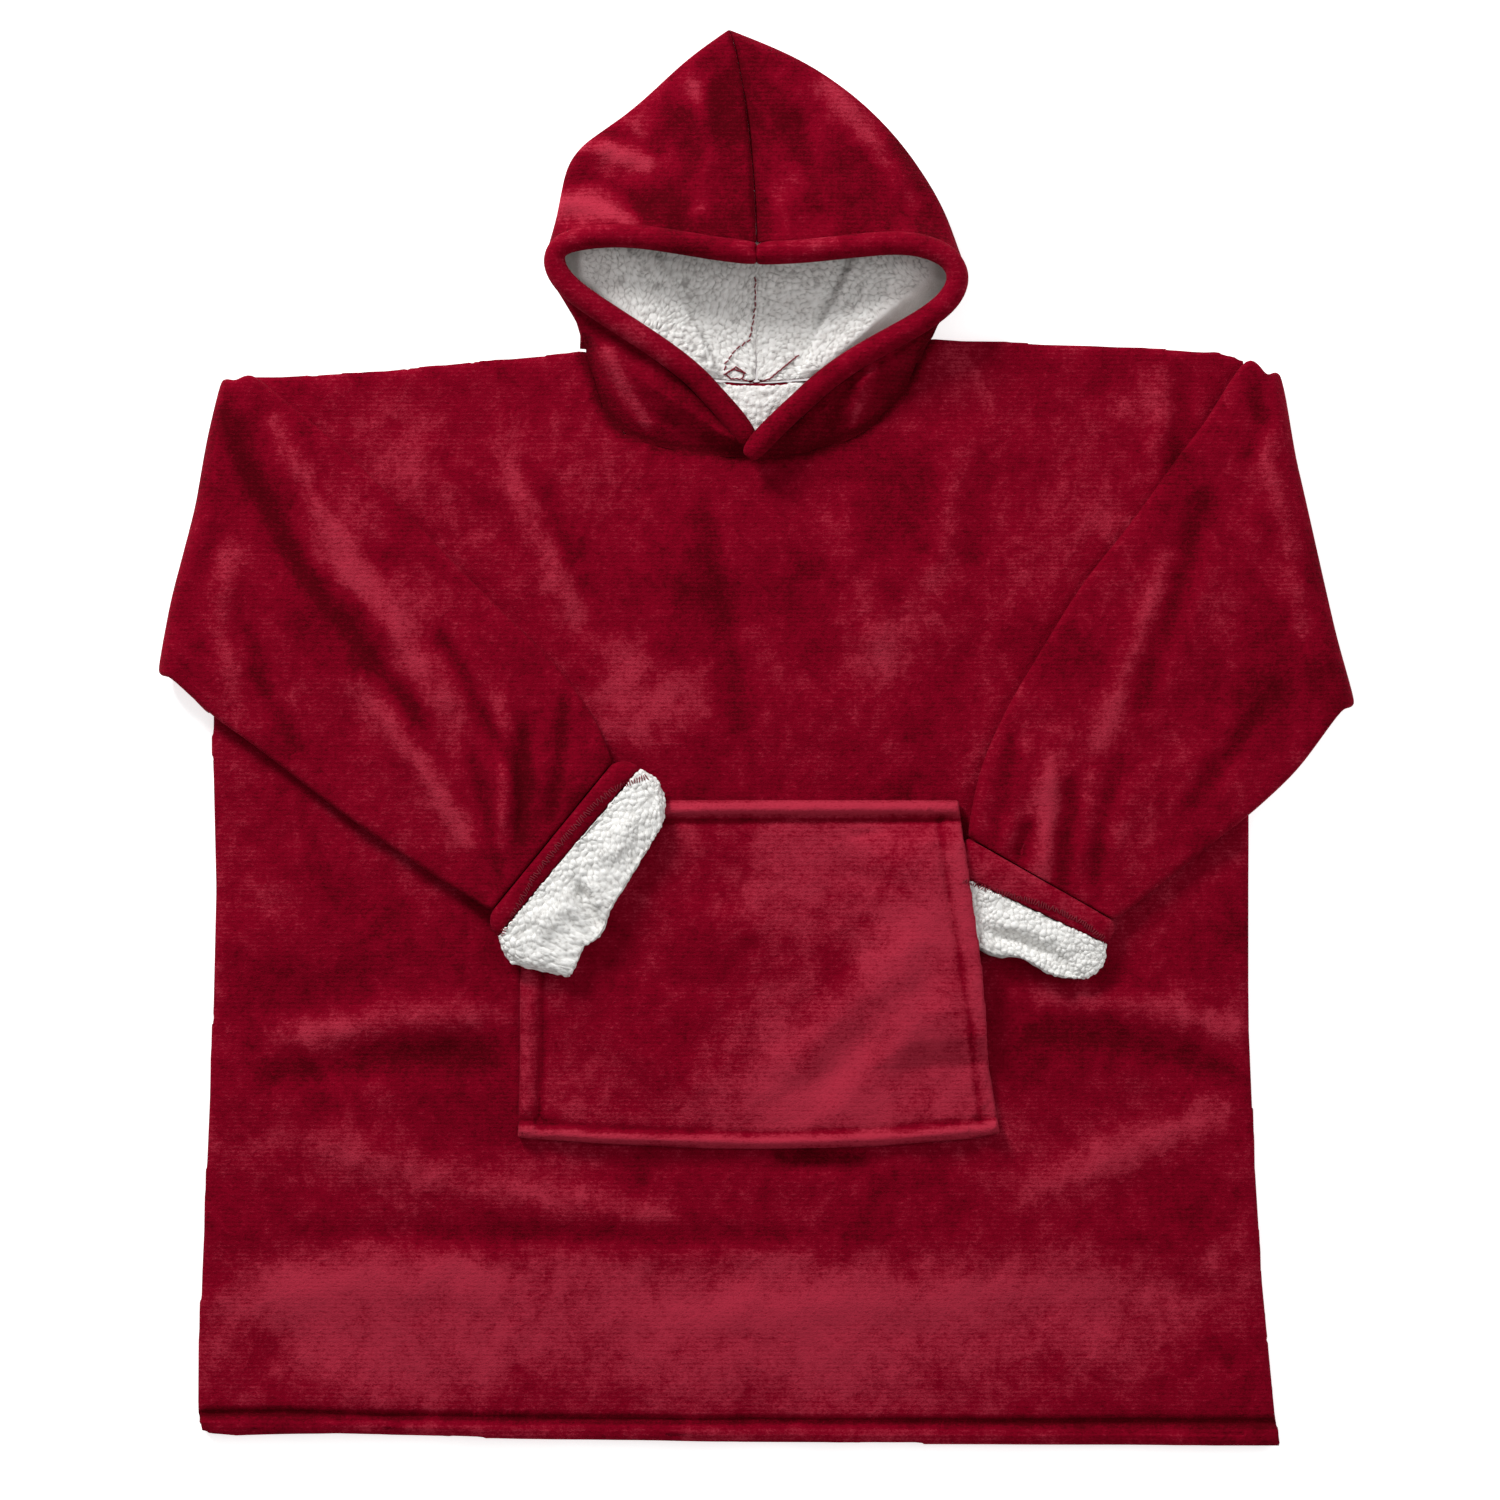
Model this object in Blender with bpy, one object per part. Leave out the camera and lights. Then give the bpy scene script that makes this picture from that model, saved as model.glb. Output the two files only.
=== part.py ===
"""Wearable blanket hoodie of thick plush fleece with a sherpa lining, laid flat on its back.

The back lies on the surface at z = 0, the front on the back, the pocket on the front, and both sleeves
are folded forward over the front. The hood stands open towards +Z with its point towards +Y. Right and
left are the wearer's, so the right sleeve is on the -X side. Tables are in millimetres, and the solids
are built in metres.
"""
import math

import bpy
import numpy as np

MM = 0.001

# Cloth thicknesses and the clearances between pieces, in millimetres.
BODY_WALL = 6.0
HOOD_WALL = 3.0
LINING_WALL = 2.0
POCKET_WALL = 5.0
SLEEVE_STACK = 12.3
CUFF_STACK = 15.0
TUCKED_CUFF_STACK = 13.3
SLIT = 1.2
MOUTH_SLIT = 3.0
GAP = 0.3
LINING_GAP = 0.6
SEAM_GAP = 0.8
NECK_GAP = 1.6
BACK_NECK_GAP = 1.2
NECK_Z = 11.4
NECK_CORNER = 13.0
FRONT_NECK_Y = 235.0
BACK_NECK_Y = 296.0
ROLL_TIP = 7.0
SMOOTH_PASSES = 6
NORMAL_PASSES = 8
NECK_ROWS = 6
ROLL_RADIUS = 9.5
FOLD_RADIUS = 9.0
HOOD_FOLD = 10.0
NECK_FOLD = 6.0
RIM_INSET = 2.4
HEM_DEPTH = 17.0

BODY_TOP = 2 * BODY_WALL + GAP
POCKET_LIFT = 5.6

# Side edges of the body: y, x of the wearer's right edge, x of the left edge.
BODY_SIDES = [
    (-590, -461, 437),
    (-556, -466, 431),
    (-495, -465, 425),
    (-386, -460, 417),
    (-219, -453, 410),
    (-122, -451, 410),
    (-60, -452, 411),
    (15, -455, 408),
    (302, -423, 396),
    (340, -423, 396),
]

# Rows of points up each panel, and where the turned hem rises and its seam sinks.
BACK_ROWS = 8
FRONT_ROWS = 22
HEM_RISE = 1.6
HEM_SINK = 1.4
HEM_SHOULDER = 7.0

# How far from a sleeve, the pocket or the neck, and from the side seams, the folds reach their height.
COVER_CLEAR = 34.0
COVER_RAMP = 30.0
SIDE_RAMP = 40.0

# Bottom edge of the hem: x, y.
HEM_EDGE = [(-462, -578), (-432, -583), (-358, -579), (-308, -582), (-14, -588), (437, -590)]

# Top edge: x, y of the front neckline and shoulders, y of the back neckline and shoulders.
TOP_EDGE = [
    (-423, 301, 301),
    (-398, 301, 301),
    (-360, 303, 303),
    (-320, 305, 305),
    (-280, 309, 309),
    (-240, 313, 313),
    (-205, 316, 316),
    (-172, 319, 319),
    (-145, 323, 323),
    (-139, 302, 320),
    (-131, 276, 316),
    (-112, 253, 309),
    (-82, 243, 303),
    (-45, 236, 298),
    (-12, 233, 296),
    (12, 231, 296),
    (42, 236, 298),
    (72, 246, 302),
    (100, 262, 309),
    (122, 286, 319),
    (134, 308, 326),
    (144, 333, 333),
    (172, 331, 331),
    (205, 330, 330),
    (240, 328, 328),
    (280, 327, 327),
    (320, 325, 325),
    (355, 323, 323),
    (380, 320, 320),
    (396, 312, 312),
]

# Half width of the neckline, and a point inside the hood.
NECK_HALF = 150.0
HOOD_MIDDLE_Y = 400.0

# Soft folds of the front panel: start x, y, end x, y, half width, height.
BODY_FOLDS = [
    (-420, -260, -150, -235, 40, 2.6),
    (-380, -330, -60, -400, 46, 2.2),
    (-440, -470, -200, -440, 40, 2.4),
    (-190, -395, 160, -420, 34, 2.2),
    (-60, -480, 300, -455, 44, 2.6),
    (200, -380, 400, -300, 40, 2.8),
    (230, -190, 400, -240, 36, 2.4),
    (-370, -130, -250, -215, 34, 2.8),
    (-60, 190, -20, 20, 34, 2.4),
    (60, 190, 110, 40, 34, 2.6),
    (-190, 220, -130, 90, 30, 2.2),
    (180, 240, 150, 130, 30, 2.2),
]

# Right sleeve, from its outer fold to its gathered end: inner edge x, y, lower edge x, y.
SLEEVE_RIGHT = [
    (0.00, -446, 300, -500, 52),
    (0.06, -436, 307, -478, 33),
    (0.13, -420, 305, -455, 19),
    (0.22, -396, 283, -418, -6),
    (0.32, -351, 249, -383, -34),
    (0.42, -313, 211, -348, -61),
    (0.52, -267, 163, -313, -86),
    (0.62, -224, 117, -277, -109),
    (0.72, -189, 86, -262, -120),
    (0.82, -154, 47, -245, -129),
    (0.91, -131, 12, -233, -137),
    (1.00, -119, -20, -220, -144),
]

# Left sleeve, in the same columns.
SLEEVE_LEFT = [
    (0.00, 434, 288, 500, 26),
    (0.06, 424, 303, 478, 4),
    (0.13, 408, 306, 460, -14),
    (0.17, 398, 297, 451, -26),
    (0.22, 389, 281, 440, -38),
    (0.32, 362, 250, 411, -64),
    (0.42, 337, 215, 389, -81),
    (0.52, 305, 170, 368, -97),
    (0.62, 269, 128, 349, -113),
    (0.72, 239, 77, 332, -126),
    (0.82, 210, 30, 320, -136),
    (0.91, 186, -20, 308, -145),
    (1.00, 174, -82, 297, -152),
]

# Bulge of each sleeve's outer fold beyond a straight line: share of the way down, outward distance.
FOLD_RIGHT = [(0.0, 0), (0.2, 1), (0.45, -2), (0.75, 2), (1.0, 0)]
FOLD_LEFT = [(0.0, 0), (0.2, 2), (0.5, 0), (0.8, -2), (1.0, 0)]

# Soft folds on top of the sleeves: start x, y, end x, y, half width, height.
SLEEVE_FOLDS = [
    (-425, 262, -350, 60, 26, 3.4),
    (-330, 120, -250, 10, 24, 3.2),
    (-400, 130, -390, 20, 30, 2.6),
    (-268, 84, -222, 18, 18, 3.2),
    (-215, 20, -196, -60, 16, 4.2),
    (-300, -10, -240, -80, 22, 3.0),
    (415, 250, 452, 90, 28, 3.2),
    (380, 150, 330, 20, 28, 3.0),
    (300, 90, 262, -50, 20, 3.4),
    (345, -20, 290, -90, 18, 3.4),
    (420, 20, 370, -60, 24, 2.8),
    (232, 0, 226, -70, 14, 3.6),
]

# The right cuff lies on the pocket: the edge of the raised area, and how far out it settles.
LIFT_EDGE_X = -193.0
LIFT_REACH = 64.0
LIFT_RAMP = 46.0

# Rings of a flattened tube: points outside and inside, and the angles of its rounded edges in radians.
OUTER = 30
INNER = 10
CAP_ANGLES = (0.8, 0.0, -0.8)
HALF_POINTS = 12

# Share of a fold's or a cuff's length at which its height starts and ends.
FOLD_END = 0.1
CROWN_END = 0.15

# Angles round the sleeve's outer fold in degrees, and the shares of its length that get a ring.
FOLD_ANGLES = (-90, -50, -12, 25, 60, 90)
SLEEVE_SHARES = (0.13, 0.19, 0.26, 0.33, 0.40, 0.47, 0.54, 0.61, 0.68, 0.75, 0.81, 0.87, 0.92, 0.96, 1.0)

# Armholes: top x, y and lower x, y, just outside the body's side seams.
ARMHOLE_RIGHT = ((-423.6, 300), (-455.6, 17))
ARMHOLE_LEFT = ((396.6, 300), (409.6, 17))

# How fast the sleeve sinks from its outer fold onto the front, and how far the fold's bulge reaches.
SINK_START = 0.06
SINK_SPAN = 0.2
BULGE_SPAN = 0.3

# Fullness of the cuffs' middle: bands right and left, turned cuffs right and left.
BAND_CROWN_RIGHT = 2.0
BAND_CROWN_LEFT = 1.5
MOUTH_CROWN_RIGHT = 1.5
MOUTH_CROWN_LEFT = 0.5

# Cuffs: ends of each line across the cuff, inner x, y and outer x, y, from the sleeve to the mouth.
CUFF_RIGHT_BAND = [(-118, -22, -219, -146), (-108, -20, -221, -155), (-98, -24, -216, -164)]
CUFF_RIGHT_MOUTH = [
    (-96, -26, -214, -166),
    (-84, -32, -212, -176),
    (-75, -46, -204, -188),
    (-76, -68, -156, -199),
]
CUFF_LEFT_BAND = [(174, -84, 297, -154), (166, -97, 297, -162), (158, -108, 291, -170)]
CUFF_LEFT_MOUTH = [
    (156, -110, 290, -172),
    (148, -126, 291, -182),
    (142, -142, 288, -192),
    (146, -158, 276, -200),
]

# Pocket: y, x of its right edge, x of its left edge; then x, y along its bottom edge.
POCKET_SIDES = [(-52, -185, 168), (-125, -190, 178), (-195, -197, 188), (-270, -197, 193), (-344, -199, 205)]
POCKET_TOP_Y = -52
POCKET_BOTTOM = [(-199, -333), (-130, -338), (-20, -343), (90, -341), (180, -334), (205, -329)]
POCKET_HEM = 20.0
POCKET_RIDGE = 15.0
RIDGE_HEIGHT = 2.6
STITCH_SINK = 0.9
POCKET_INSET = 1.6
EDGE_STEP = 8.0
TOP_STEP = 19.0
POCKET_LOW_ROWS = (0.0, 9.0, 18.0, 27.0)
POCKET_ROW_SHARES = (0.86, 0.78, 0.70, 0.62, 0.54, 0.46, 0.38, 0.29, 0.20)
POCKET_SHARES = (0.16, 0.28, 0.40, 0.52, 0.64, 0.74, 0.83)

# The pocket has no raised edge where the right cuff lies on it: left of this x and above this y.
UNDER_CUFF_X = -60.0
UNDER_CUFF_Y = -215.0

# Where the left cuff is tucked under the pocket: corners of the raised area and its height.
TUCK_LOW = (128.0, -236.0)
TUCK_HIGH = (260.0, -92.0)
TUCK_RAMP = 42.0
TUCK_TOP_RAMP = 25.2
TUCK_HEIGHT = 15.6

# Hood: share of the way from the neck to the crown, the centre of the rolled face edge x, y, z, how far
# the panel leaves below the roll in degrees, and the side fold x, y.
HOOD_RIGHT = [
    (0.00, -13, 250, 23, 50, -145, 324),
    (0.08, -35, 285, 27, 35, -146, 334),
    (0.16, -59, 307, 31, 25, -147, 345),
    (0.24, -95, 332, 36, 35, -152, 354),
    (0.32, -140, 360, 39, 60, -164, 364),
    (0.39, -160, 375, 40, 85, -174, 379),
    (0.46, -170, 393, 41, 90, -177, 397),
    (0.53, -163, 408, 42, 70, -172, 416),
    (0.60, -137, 414, 43, 45, -166, 437),
    (0.67, -112, 415, 44, 35, -162, 463),
    (0.74, -90, 413, 44, 30, -155, 492),
    (0.80, -70, 410, 44, 25, -126, 505),
    (0.86, -48, 406, 44, 25, -98, 527),
    (0.92, -28, 403, 44, 25, -71, 553),
    (0.96, -13, 401, 44, 25, -47, 577),
    (1.00, 0, 400, 44, 25, -23, 590),
]
HOOD_LEFT = [
    (0.00, 7, 243, 24, 50, 145, 337),
    (0.08, 35, 279, 28, 35, 143, 341),
    (0.16, 71, 308, 32, 25, 147, 348),
    (0.24, 115, 332, 36, 40, 154, 357),
    (0.32, 148, 350, 39, 65, 166, 366),
    (0.39, 163, 365, 40, 88, 175, 374),
    (0.46, 169, 381, 41, 90, 175, 391),
    (0.53, 159, 398, 42, 65, 168, 409),
    (0.60, 135, 408, 43, 45, 161, 430),
    (0.67, 112, 409, 44, 35, 150, 454),
    (0.74, 92, 407, 44, 30, 133, 480),
    (0.80, 70, 405, 44, 25, 110, 510),
    (0.86, 48, 402, 44, 25, 82, 536),
    (0.92, 28, 401, 44, 25, 46, 561),
    (0.96, 13, 400, 44, 25, 10, 580),
    (1.00, 0, 400, 44, 25, -23, 590),
]
CROWN_PUFF = 9.0
PUFF_START = 0.55
PUFF_RAMP = 0.3

# Points of each hood row, as shares from the roll to the side fold and from there to the back seam.
PANEL_SPANS = (0.1, 0.25, 0.4, 0.55, 0.7, 0.85, 1.0)
BACK_SPANS = (0.25, 0.5, 0.75, 1.0)
PANEL_PULL = 0.45
ARC_POINTS = 5
ARC_LEAN = 0.8
PATH_STEP = 0.04

# Shares of the way to the crown over which the side direction, the fold and its arc settle.
SIDE_SETTLES = 0.4
FOLD_SETTLES = 0.35
ARC_SETTLES = 0.2

# Neckline points that the hood is sewn to, its middle, and how soon the rows leave it.
NECK_FROM = 20.0
NECK_TO = 144.0
NECK_MIDDLE_Y = 300.0
NECK_FADE = 5
CORNER_FADE = 14

# Rolled face edge: sides of the tube, and its radius at the tip as a share of the full one.
ROLL_SIDES = 10
TIP_SHARE = 0.55

# Centre seam of the hood: y, x.
CENTRE_SEAM = [(296, 0.0), (412, 0.0), (464, -2.0), (519, -8.0), (572, -16.0), (590, -23.0)]
BACK_SEAM_TOP = 568.0

FLEECE = (0.29, 0.008, 0.035)
FLEECE_DARK = (0.20, 0.005, 0.024)
SHERPA = (0.86, 0.86, 0.83)


def between(table, key, column):
    """Value of a table's column at the key, which is the table's first column."""
    keys = [row[0] for row in table]
    return np.interp(key, keys, [row[column] for row in table])


def clear_scene():
    for item in list(bpy.data.objects):
        bpy.data.objects.remove(item)


def material(name, colour, roughness):
    made = bpy.data.materials.new(name)
    made.use_nodes = True
    shader = made.node_tree.nodes["Principled BSDF"]
    shader.inputs["Base Color"].default_value = (*colour, 1.0)
    shader.inputs["Roughness"].default_value = roughness
    shader.inputs["Metallic"].default_value = 0.0
    return made


def add_solid(name, points, faces, finish):
    """One closed body from points in millimetres, shaded smooth."""
    mesh = bpy.data.meshes.new(name)
    mesh.from_pydata([tuple(float(c) * MM for c in p) for p in points], [], faces)
    mesh.validate()
    mesh.materials.append(finish)
    mesh.shade_smooth()
    solid = bpy.data.objects.new(name, mesh)
    bpy.context.collection.objects.link(solid)
    return solid


def unit(vector):
    length = np.linalg.norm(vector, axis=-1, keepdims=True)
    return vector / np.maximum(length, 1e-9)


def edge_loop(rows, columns):
    """Grid indices round the edge of a grid, in order."""
    loop = [(0, c) for c in range(columns)]
    loop += [(r, columns - 1) for r in range(1, rows)]
    loop += [(rows - 1, c) for c in range(columns - 2, -1, -1)]
    loop += [(r, 0) for r in range(rows - 2, 0, -1)]
    return loop


def wall(name, upper, lower, finish, middle=None):
    """Closed solid between two grids of points, with one ring of points round its rim."""
    rows, columns = upper.shape[:2]
    loop = edge_loop(rows, columns)
    count = rows * columns
    if middle is None:
        middle = np.array([(upper[i] + lower[i]) / 2 for i in loop])
    points = list(upper.reshape(-1, 3)) + list(lower.reshape(-1, 3)) + list(middle)
    faces = []
    for r in range(rows - 1):
        for c in range(columns - 1):
            a = r * columns + c
            b = a + 1
            faces.append((a, b, b + columns, a + columns))
            faces.append((count + a, count + a + columns, count + b + columns, count + b))
    total = len(loop)
    for i in range(total):
        j = (i + 1) % total
        here = loop[i][0] * columns + loop[i][1]
        there = loop[j][0] * columns + loop[j][1]
        rim_here = 2 * count + i
        rim_there = 2 * count + j
        faces.append((here, rim_here, rim_there, there))
        faces.append((rim_here, count + here, count + there, rim_there))
    return add_solid(name, points, faces, finish)


def segment_share(x, y, fold):
    """Distance from a fold's line, and how far along it the nearest point lies."""
    x0, y0, x1, y1 = fold[:4]
    along = (x1 - x0, y1 - y0)
    length = along[0] ** 2 + along[1] ** 2
    share = np.clip(((x - x0) * along[0] + (y - y0) * along[1]) / length, 0.0, 1.0)
    return np.hypot(x - x0 - share * along[0], y - y0 - share * along[1]), share


def fold_height(x, y, folds):
    height = np.zeros_like(x, dtype=float)
    for fold in folds:
        distance, share = segment_share(x, y, fold)
        fade = np.sin(math.pi * (FOLD_END + (1 - 2 * FOLD_END) * share))
        height = height + fold[5] * np.exp(-((distance / fold[4]) ** 2)) * fade
    return height


def smooth_step(value):
    value = np.clip(value, 0.0, 1.0)
    return value * value * (3 - 2 * value)


def outline_distance(x, y, outline):
    """Distance from a closed outline, nought inside it."""
    inside = False
    nearest = 1e9
    for (x0, y0), (x1, y1) in zip(outline, outline[1:] + outline[:1]):
        distance, _ = segment_share(x, y, (x0, y0, x1, y1))
        nearest = min(nearest, float(distance))
        if (y0 > y) != (y1 > y) and x < (x1 - x0) * (y - y0) / (y1 - y0) + x0:
            inside = not inside
    return 0.0 if inside else nearest


def covered_outlines():
    """What lies on the front panel: both sleeves with their cuffs, the pocket and the neck."""
    sleeves = []
    for table, mouth in ((SLEEVE_RIGHT, CUFF_RIGHT_MOUTH), (SLEEVE_LEFT, CUFF_LEFT_MOUTH)):
        outline = [(r[1], r[2]) for r in table] + [mouth[-1][:2], mouth[-1][2:]]
        sleeves.append(outline + [(r[3], r[4]) for r in reversed(table)])
    low, top = POCKET_SIDES[-1], POCKET_SIDES[0]
    pocket = [(low[1], low[0]), (top[1], top[0]), (top[2], top[0]), (low[2], low[0])]
    neck = [(r[0], r[1]) for r in TOP_EDGE if abs(r[0]) < NECK_HALF] + [(0, HOOD_MIDDLE_Y)]
    return [*sleeves, pocket, neck]


def body_grid(side, inset, columns, hem_rows, rows):
    """Points of a body panel from the hem up, with its edges drawn in by the inset."""
    column = 1 if side == "front" else 2
    grid = np.zeros((len(hem_rows) + rows, len(columns), 2))
    for c, x_top in enumerate(columns):
        y_top = between(TOP_EDGE, x_top, column)
        low, high = between(BODY_SIDES, y_top, 1), between(BODY_SIDES, y_top, 2)
        share = np.clip((x_top - low) / (high - low), 0.0, 1.0)
        x_hem = BODY_SIDES[0][1] + share * (BODY_SIDES[0][2] - BODY_SIDES[0][1])
        y_hem = between(HEM_EDGE, x_hem, 1)
        steps = [y_hem + step for step in hem_rows]
        first = hem_rows[-1]
        steps += [y_hem + first + (y_top - y_hem - first) * (r + 1) / rows for r in range(rows)]
        for r, y in enumerate(steps):
            y = min(max(y, y_hem + inset), y_top - inset)
            left, right = between(BODY_SIDES, y, 1) + inset, between(BODY_SIDES, y, 2) - inset
            grid[r, c] = (left + share * (right - left), y)
    return grid


def body_rim(grid, outline_grid, height):
    """Points of the true outline at half the panel's height."""
    rows, columns = grid.shape[:2]
    return np.array([(*outline_grid[i], height) for i in edge_loop(rows, columns)])


def build_body(fleece):
    columns = [row[0] for row in TOP_EDGE]
    hem_rows = [0.0, HEM_DEPTH * 0.5, HEM_DEPTH, HEM_DEPTH + HEM_SHOULDER]
    panels = (("body_back", "back", 0.0, BACK_ROWS), ("body_front", "front", BODY_WALL + GAP, FRONT_ROWS))
    for name, side, low, rows in panels:
        drawn_in = body_grid(side, RIM_INSET, columns, hem_rows, rows)
        outline = body_grid(side, 0.0, columns, hem_rows, rows)
        upper = np.dstack([drawn_in, np.full(drawn_in.shape[:2], low + BODY_WALL)])
        lower = np.dstack([drawn_in, np.full(drawn_in.shape[:2], low)])
        if side == "front":
            relief = fold_height(upper[..., 0], upper[..., 1], BODY_FOLDS)
            covers = covered_outlines()
            for r in range(2, upper.shape[0]):
                for c in range(upper.shape[1]):
                    x, y = upper[r, c, :2]
                    clear = min(outline_distance(x, y, cover) for cover in covers)
                    sides = min(x - between(BODY_SIDES, y, 1), between(BODY_SIDES, y, 2) - x)
                    open_part = smooth_step((clear - COVER_CLEAR) / COVER_RAMP)
                    upper[r, c, 2] += relief[r, c] * open_part * smooth_step(sides / SIDE_RAMP)
            upper[1, :, 2] += HEM_RISE
            upper[2, :, 2] -= HEM_SINK
        wall(name, upper, lower, fleece, body_rim(drawn_in, outline, low + BODY_WALL / 2))


def support(x, y):
    """Height on which a sleeve or cuff lies: the front, or the pocket's corner under the right cuff."""
    outside_x = max(LIFT_EDGE_X - x, 0.0)
    outside_y = max(y - POCKET_TOP_Y, 0.0)
    distance = math.hypot(outside_x, outside_y)
    lift = POCKET_LIFT * smooth_step((LIFT_REACH - distance) / LIFT_RAMP) if x < 0 else 0.0
    return BODY_TOP + GAP + lift


def ring_points(start, end, centre_z, out, side_normal, stack, slit, relief):
    """One ring of a flattened tube: outer points and the points of the slit inside it.

    start and end are the ends of the line across the tube, and side_normal points to its visible side.
    """
    start, end = np.array(start, float), np.array(end, float)
    across = unit(end - start)
    radius = stack / 2
    first, last = start + across * radius, end - across * radius
    shares = [i / (HALF_POINTS - 1) for i in range(HALF_POINTS)]

    def centre(share):
        flat = first + (last - first) * share + out(share)
        return np.array([flat[0], flat[1], centre_z(share, flat)])

    across3 = np.array([across[0], across[1], 0.0])
    outer = [centre(s) + side_normal * (radius + relief(centre(s))) for s in shares]
    outer += [centre(1) + radius * (across3 * math.cos(a) + side_normal * math.sin(a)) for a in CAP_ANGLES]
    outer += [centre(s) - side_normal * radius for s in reversed(shares)]
    for a in reversed(CAP_ANGLES):
        outer.append(centre(0) + radius * (side_normal * math.sin(a) - across3 * math.cos(a)))
    inner = []
    for j in range(INNER):
        i = 3 * j + 1
        if j == 4:
            inner.append(centre(1))
        elif j == 9:
            inner.append(centre(0))
        else:
            share = shares[i] if i < HALF_POINTS else shares[2 * HALF_POINTS + 2 - i]
            inner.append(centre(share) + side_normal * (slit / 2 if j < 4 else -slit / 2))
    return outer, inner


def tube(name, rings, finish, flip):
    """Closed solid of a flattened tube, open at both ends, with its slit inside."""
    points = []
    for outer, inner in rings:
        points += outer + inner
    step = OUTER + INNER
    faces = []
    for r in range(len(rings) - 1):
        base, above = r * step, (r + 1) * step
        for i in range(OUTER):
            j = (i + 1) % OUTER
            faces.append((base + i, base + j, above + j, above + i))
        for i in range(INNER):
            j = (i + 1) % INNER
            faces.append((base + OUTER + i, above + OUTER + i, above + OUTER + j, base + OUTER + j))
    for base, turned in ((0, False), ((len(rings) - 1) * step, True)):
        for j in range(INNER):
            k = (j + 1) % INNER
            o = [base + (3 * j + 1 + d) % OUTER for d in range(4)]
            a, b = base + OUTER + j, base + OUTER + k
            rim = [(a, o[1], o[0]), (a, b, o[1]), (b, o[2], o[1]), (b, o[3], o[2])]
            faces += [tuple(reversed(f)) if turned else f for f in rim]
    if flip:
        faces = [tuple(reversed(f)) for f in faces]
    return add_solid(name, points, faces, finish)


UP = np.array([0.0, 0.0, 1.0])


def build_sleeve(name, table, fold_bulge, armhole, finish, sign):
    """Flattened tube from the armhole out to the fold, round it, and forward over the front to the cuff.

    sign is -1 for the wearer's right sleeve, on the -X side, and 1 for the left one.
    """
    inner_start = np.array(table[0][1:3], float)
    lower_start = np.array(table[0][3:5], float)
    along = unit(lower_start - inner_start)
    outward = np.array([along[1], -along[0]]) * (1 if along[1] * sign > 0 else -1)
    outward3 = np.array([outward[0], outward[1], 0.0])
    inset = FOLD_RADIUS + SLEEVE_STACK / 2

    def bulge(strength):
        return lambda share: outward * float(between(fold_bulge, share, 1)) * strength

    def flat_relief(_):
        return 0.0

    def top_relief(point):
        return float(fold_height(np.array(point[0]), np.array(point[1]), SLEEVE_FOLDS))

    rings = []
    hidden_z = SLEEVE_STACK / 2
    arm_top, arm_low = np.array(armhole[0], float), np.array(armhole[1], float)
    fold_top, fold_low = inner_start - outward * inset, lower_start - outward * inset
    for share in (0.0, 0.5):
        start = arm_top + (fold_top - arm_top) * share
        end = arm_low + (fold_low - arm_low) * share
        rings.append(ring_points(start, end, lambda s, p: hidden_z, bulge(share), -UP, SLEEVE_STACK, SLIT,
                                 flat_relief))
    for angle in FOLD_ANGLES:
        turn = math.radians(angle)
        push = outward * FOLD_RADIUS * math.cos(turn)
        height = hidden_z + FOLD_RADIUS * (1 + math.sin(turn))
        normal = outward3 * math.cos(turn) + UP * math.sin(turn)
        rings.append(ring_points(fold_top + push, fold_low + push, lambda s, p: height, bulge(1.0), normal,
                                 SLEEVE_STACK, SLIT, flat_relief))
    top_extra = hidden_z + 2 * FOLD_RADIUS - (BODY_TOP + GAP + SLEEVE_STACK / 2)
    for share in SLEEVE_SHARES:
        start = [between(table, share, 1), between(table, share, 2)]
        end = [between(table, share, 3), between(table, share, 4)]
        extra = top_extra * max(0.0, 1 - (share - SINK_START) / SINK_SPAN)
        weight = max(0.0, 1 - share / BULGE_SPAN)

        def centre_z(_, point, extra=extra):
            return support(point[0], point[1]) + SLEEVE_STACK / 2 + extra

        rings.append(ring_points(start, end, centre_z, bulge(weight), UP, SLEEVE_STACK, SLIT, top_relief))
    tube(name, rings, finish, sign > 0)


def build_cuff(name, lines, stack, slit, finish, sign, crown):
    """Short flattened tube through lines across the cuff, fuller in its middle by the crown."""
    rings = []
    last = len(lines) - 1
    for index, (x0, y0, x1, y1) in enumerate(lines):
        swell = crown * math.sin(math.pi * (CROWN_END + (1 - 2 * CROWN_END) * index / last))

        def centre_z(share, point):
            return support(point[0], point[1]) + stack / 2

        def relief(point, swell=swell):
            return swell

        ends = ((x0, y0), (x1, y1))
        rings.append(ring_points(*ends, centre_z, lambda s: np.zeros(2), UP, stack, slit, relief))
    tube(name, rings, finish, sign > 0)


def tuck_height(x, y):
    """How far the pocket is raised over the cuff that is tucked under it."""
    outside_x = max(TUCK_LOW[0] - x, 0.0)
    below = max(TUCK_LOW[1] - y, 0.0)
    above = max(y - TUCK_HIGH[1], 0.0)
    fade = smooth_step(1 - outside_x / TUCK_RAMP) * smooth_step(1 - below / TUCK_RAMP)
    return TUCK_HEIGHT * fade * smooth_step(1 - above / TUCK_TOP_RAMP)


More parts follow.
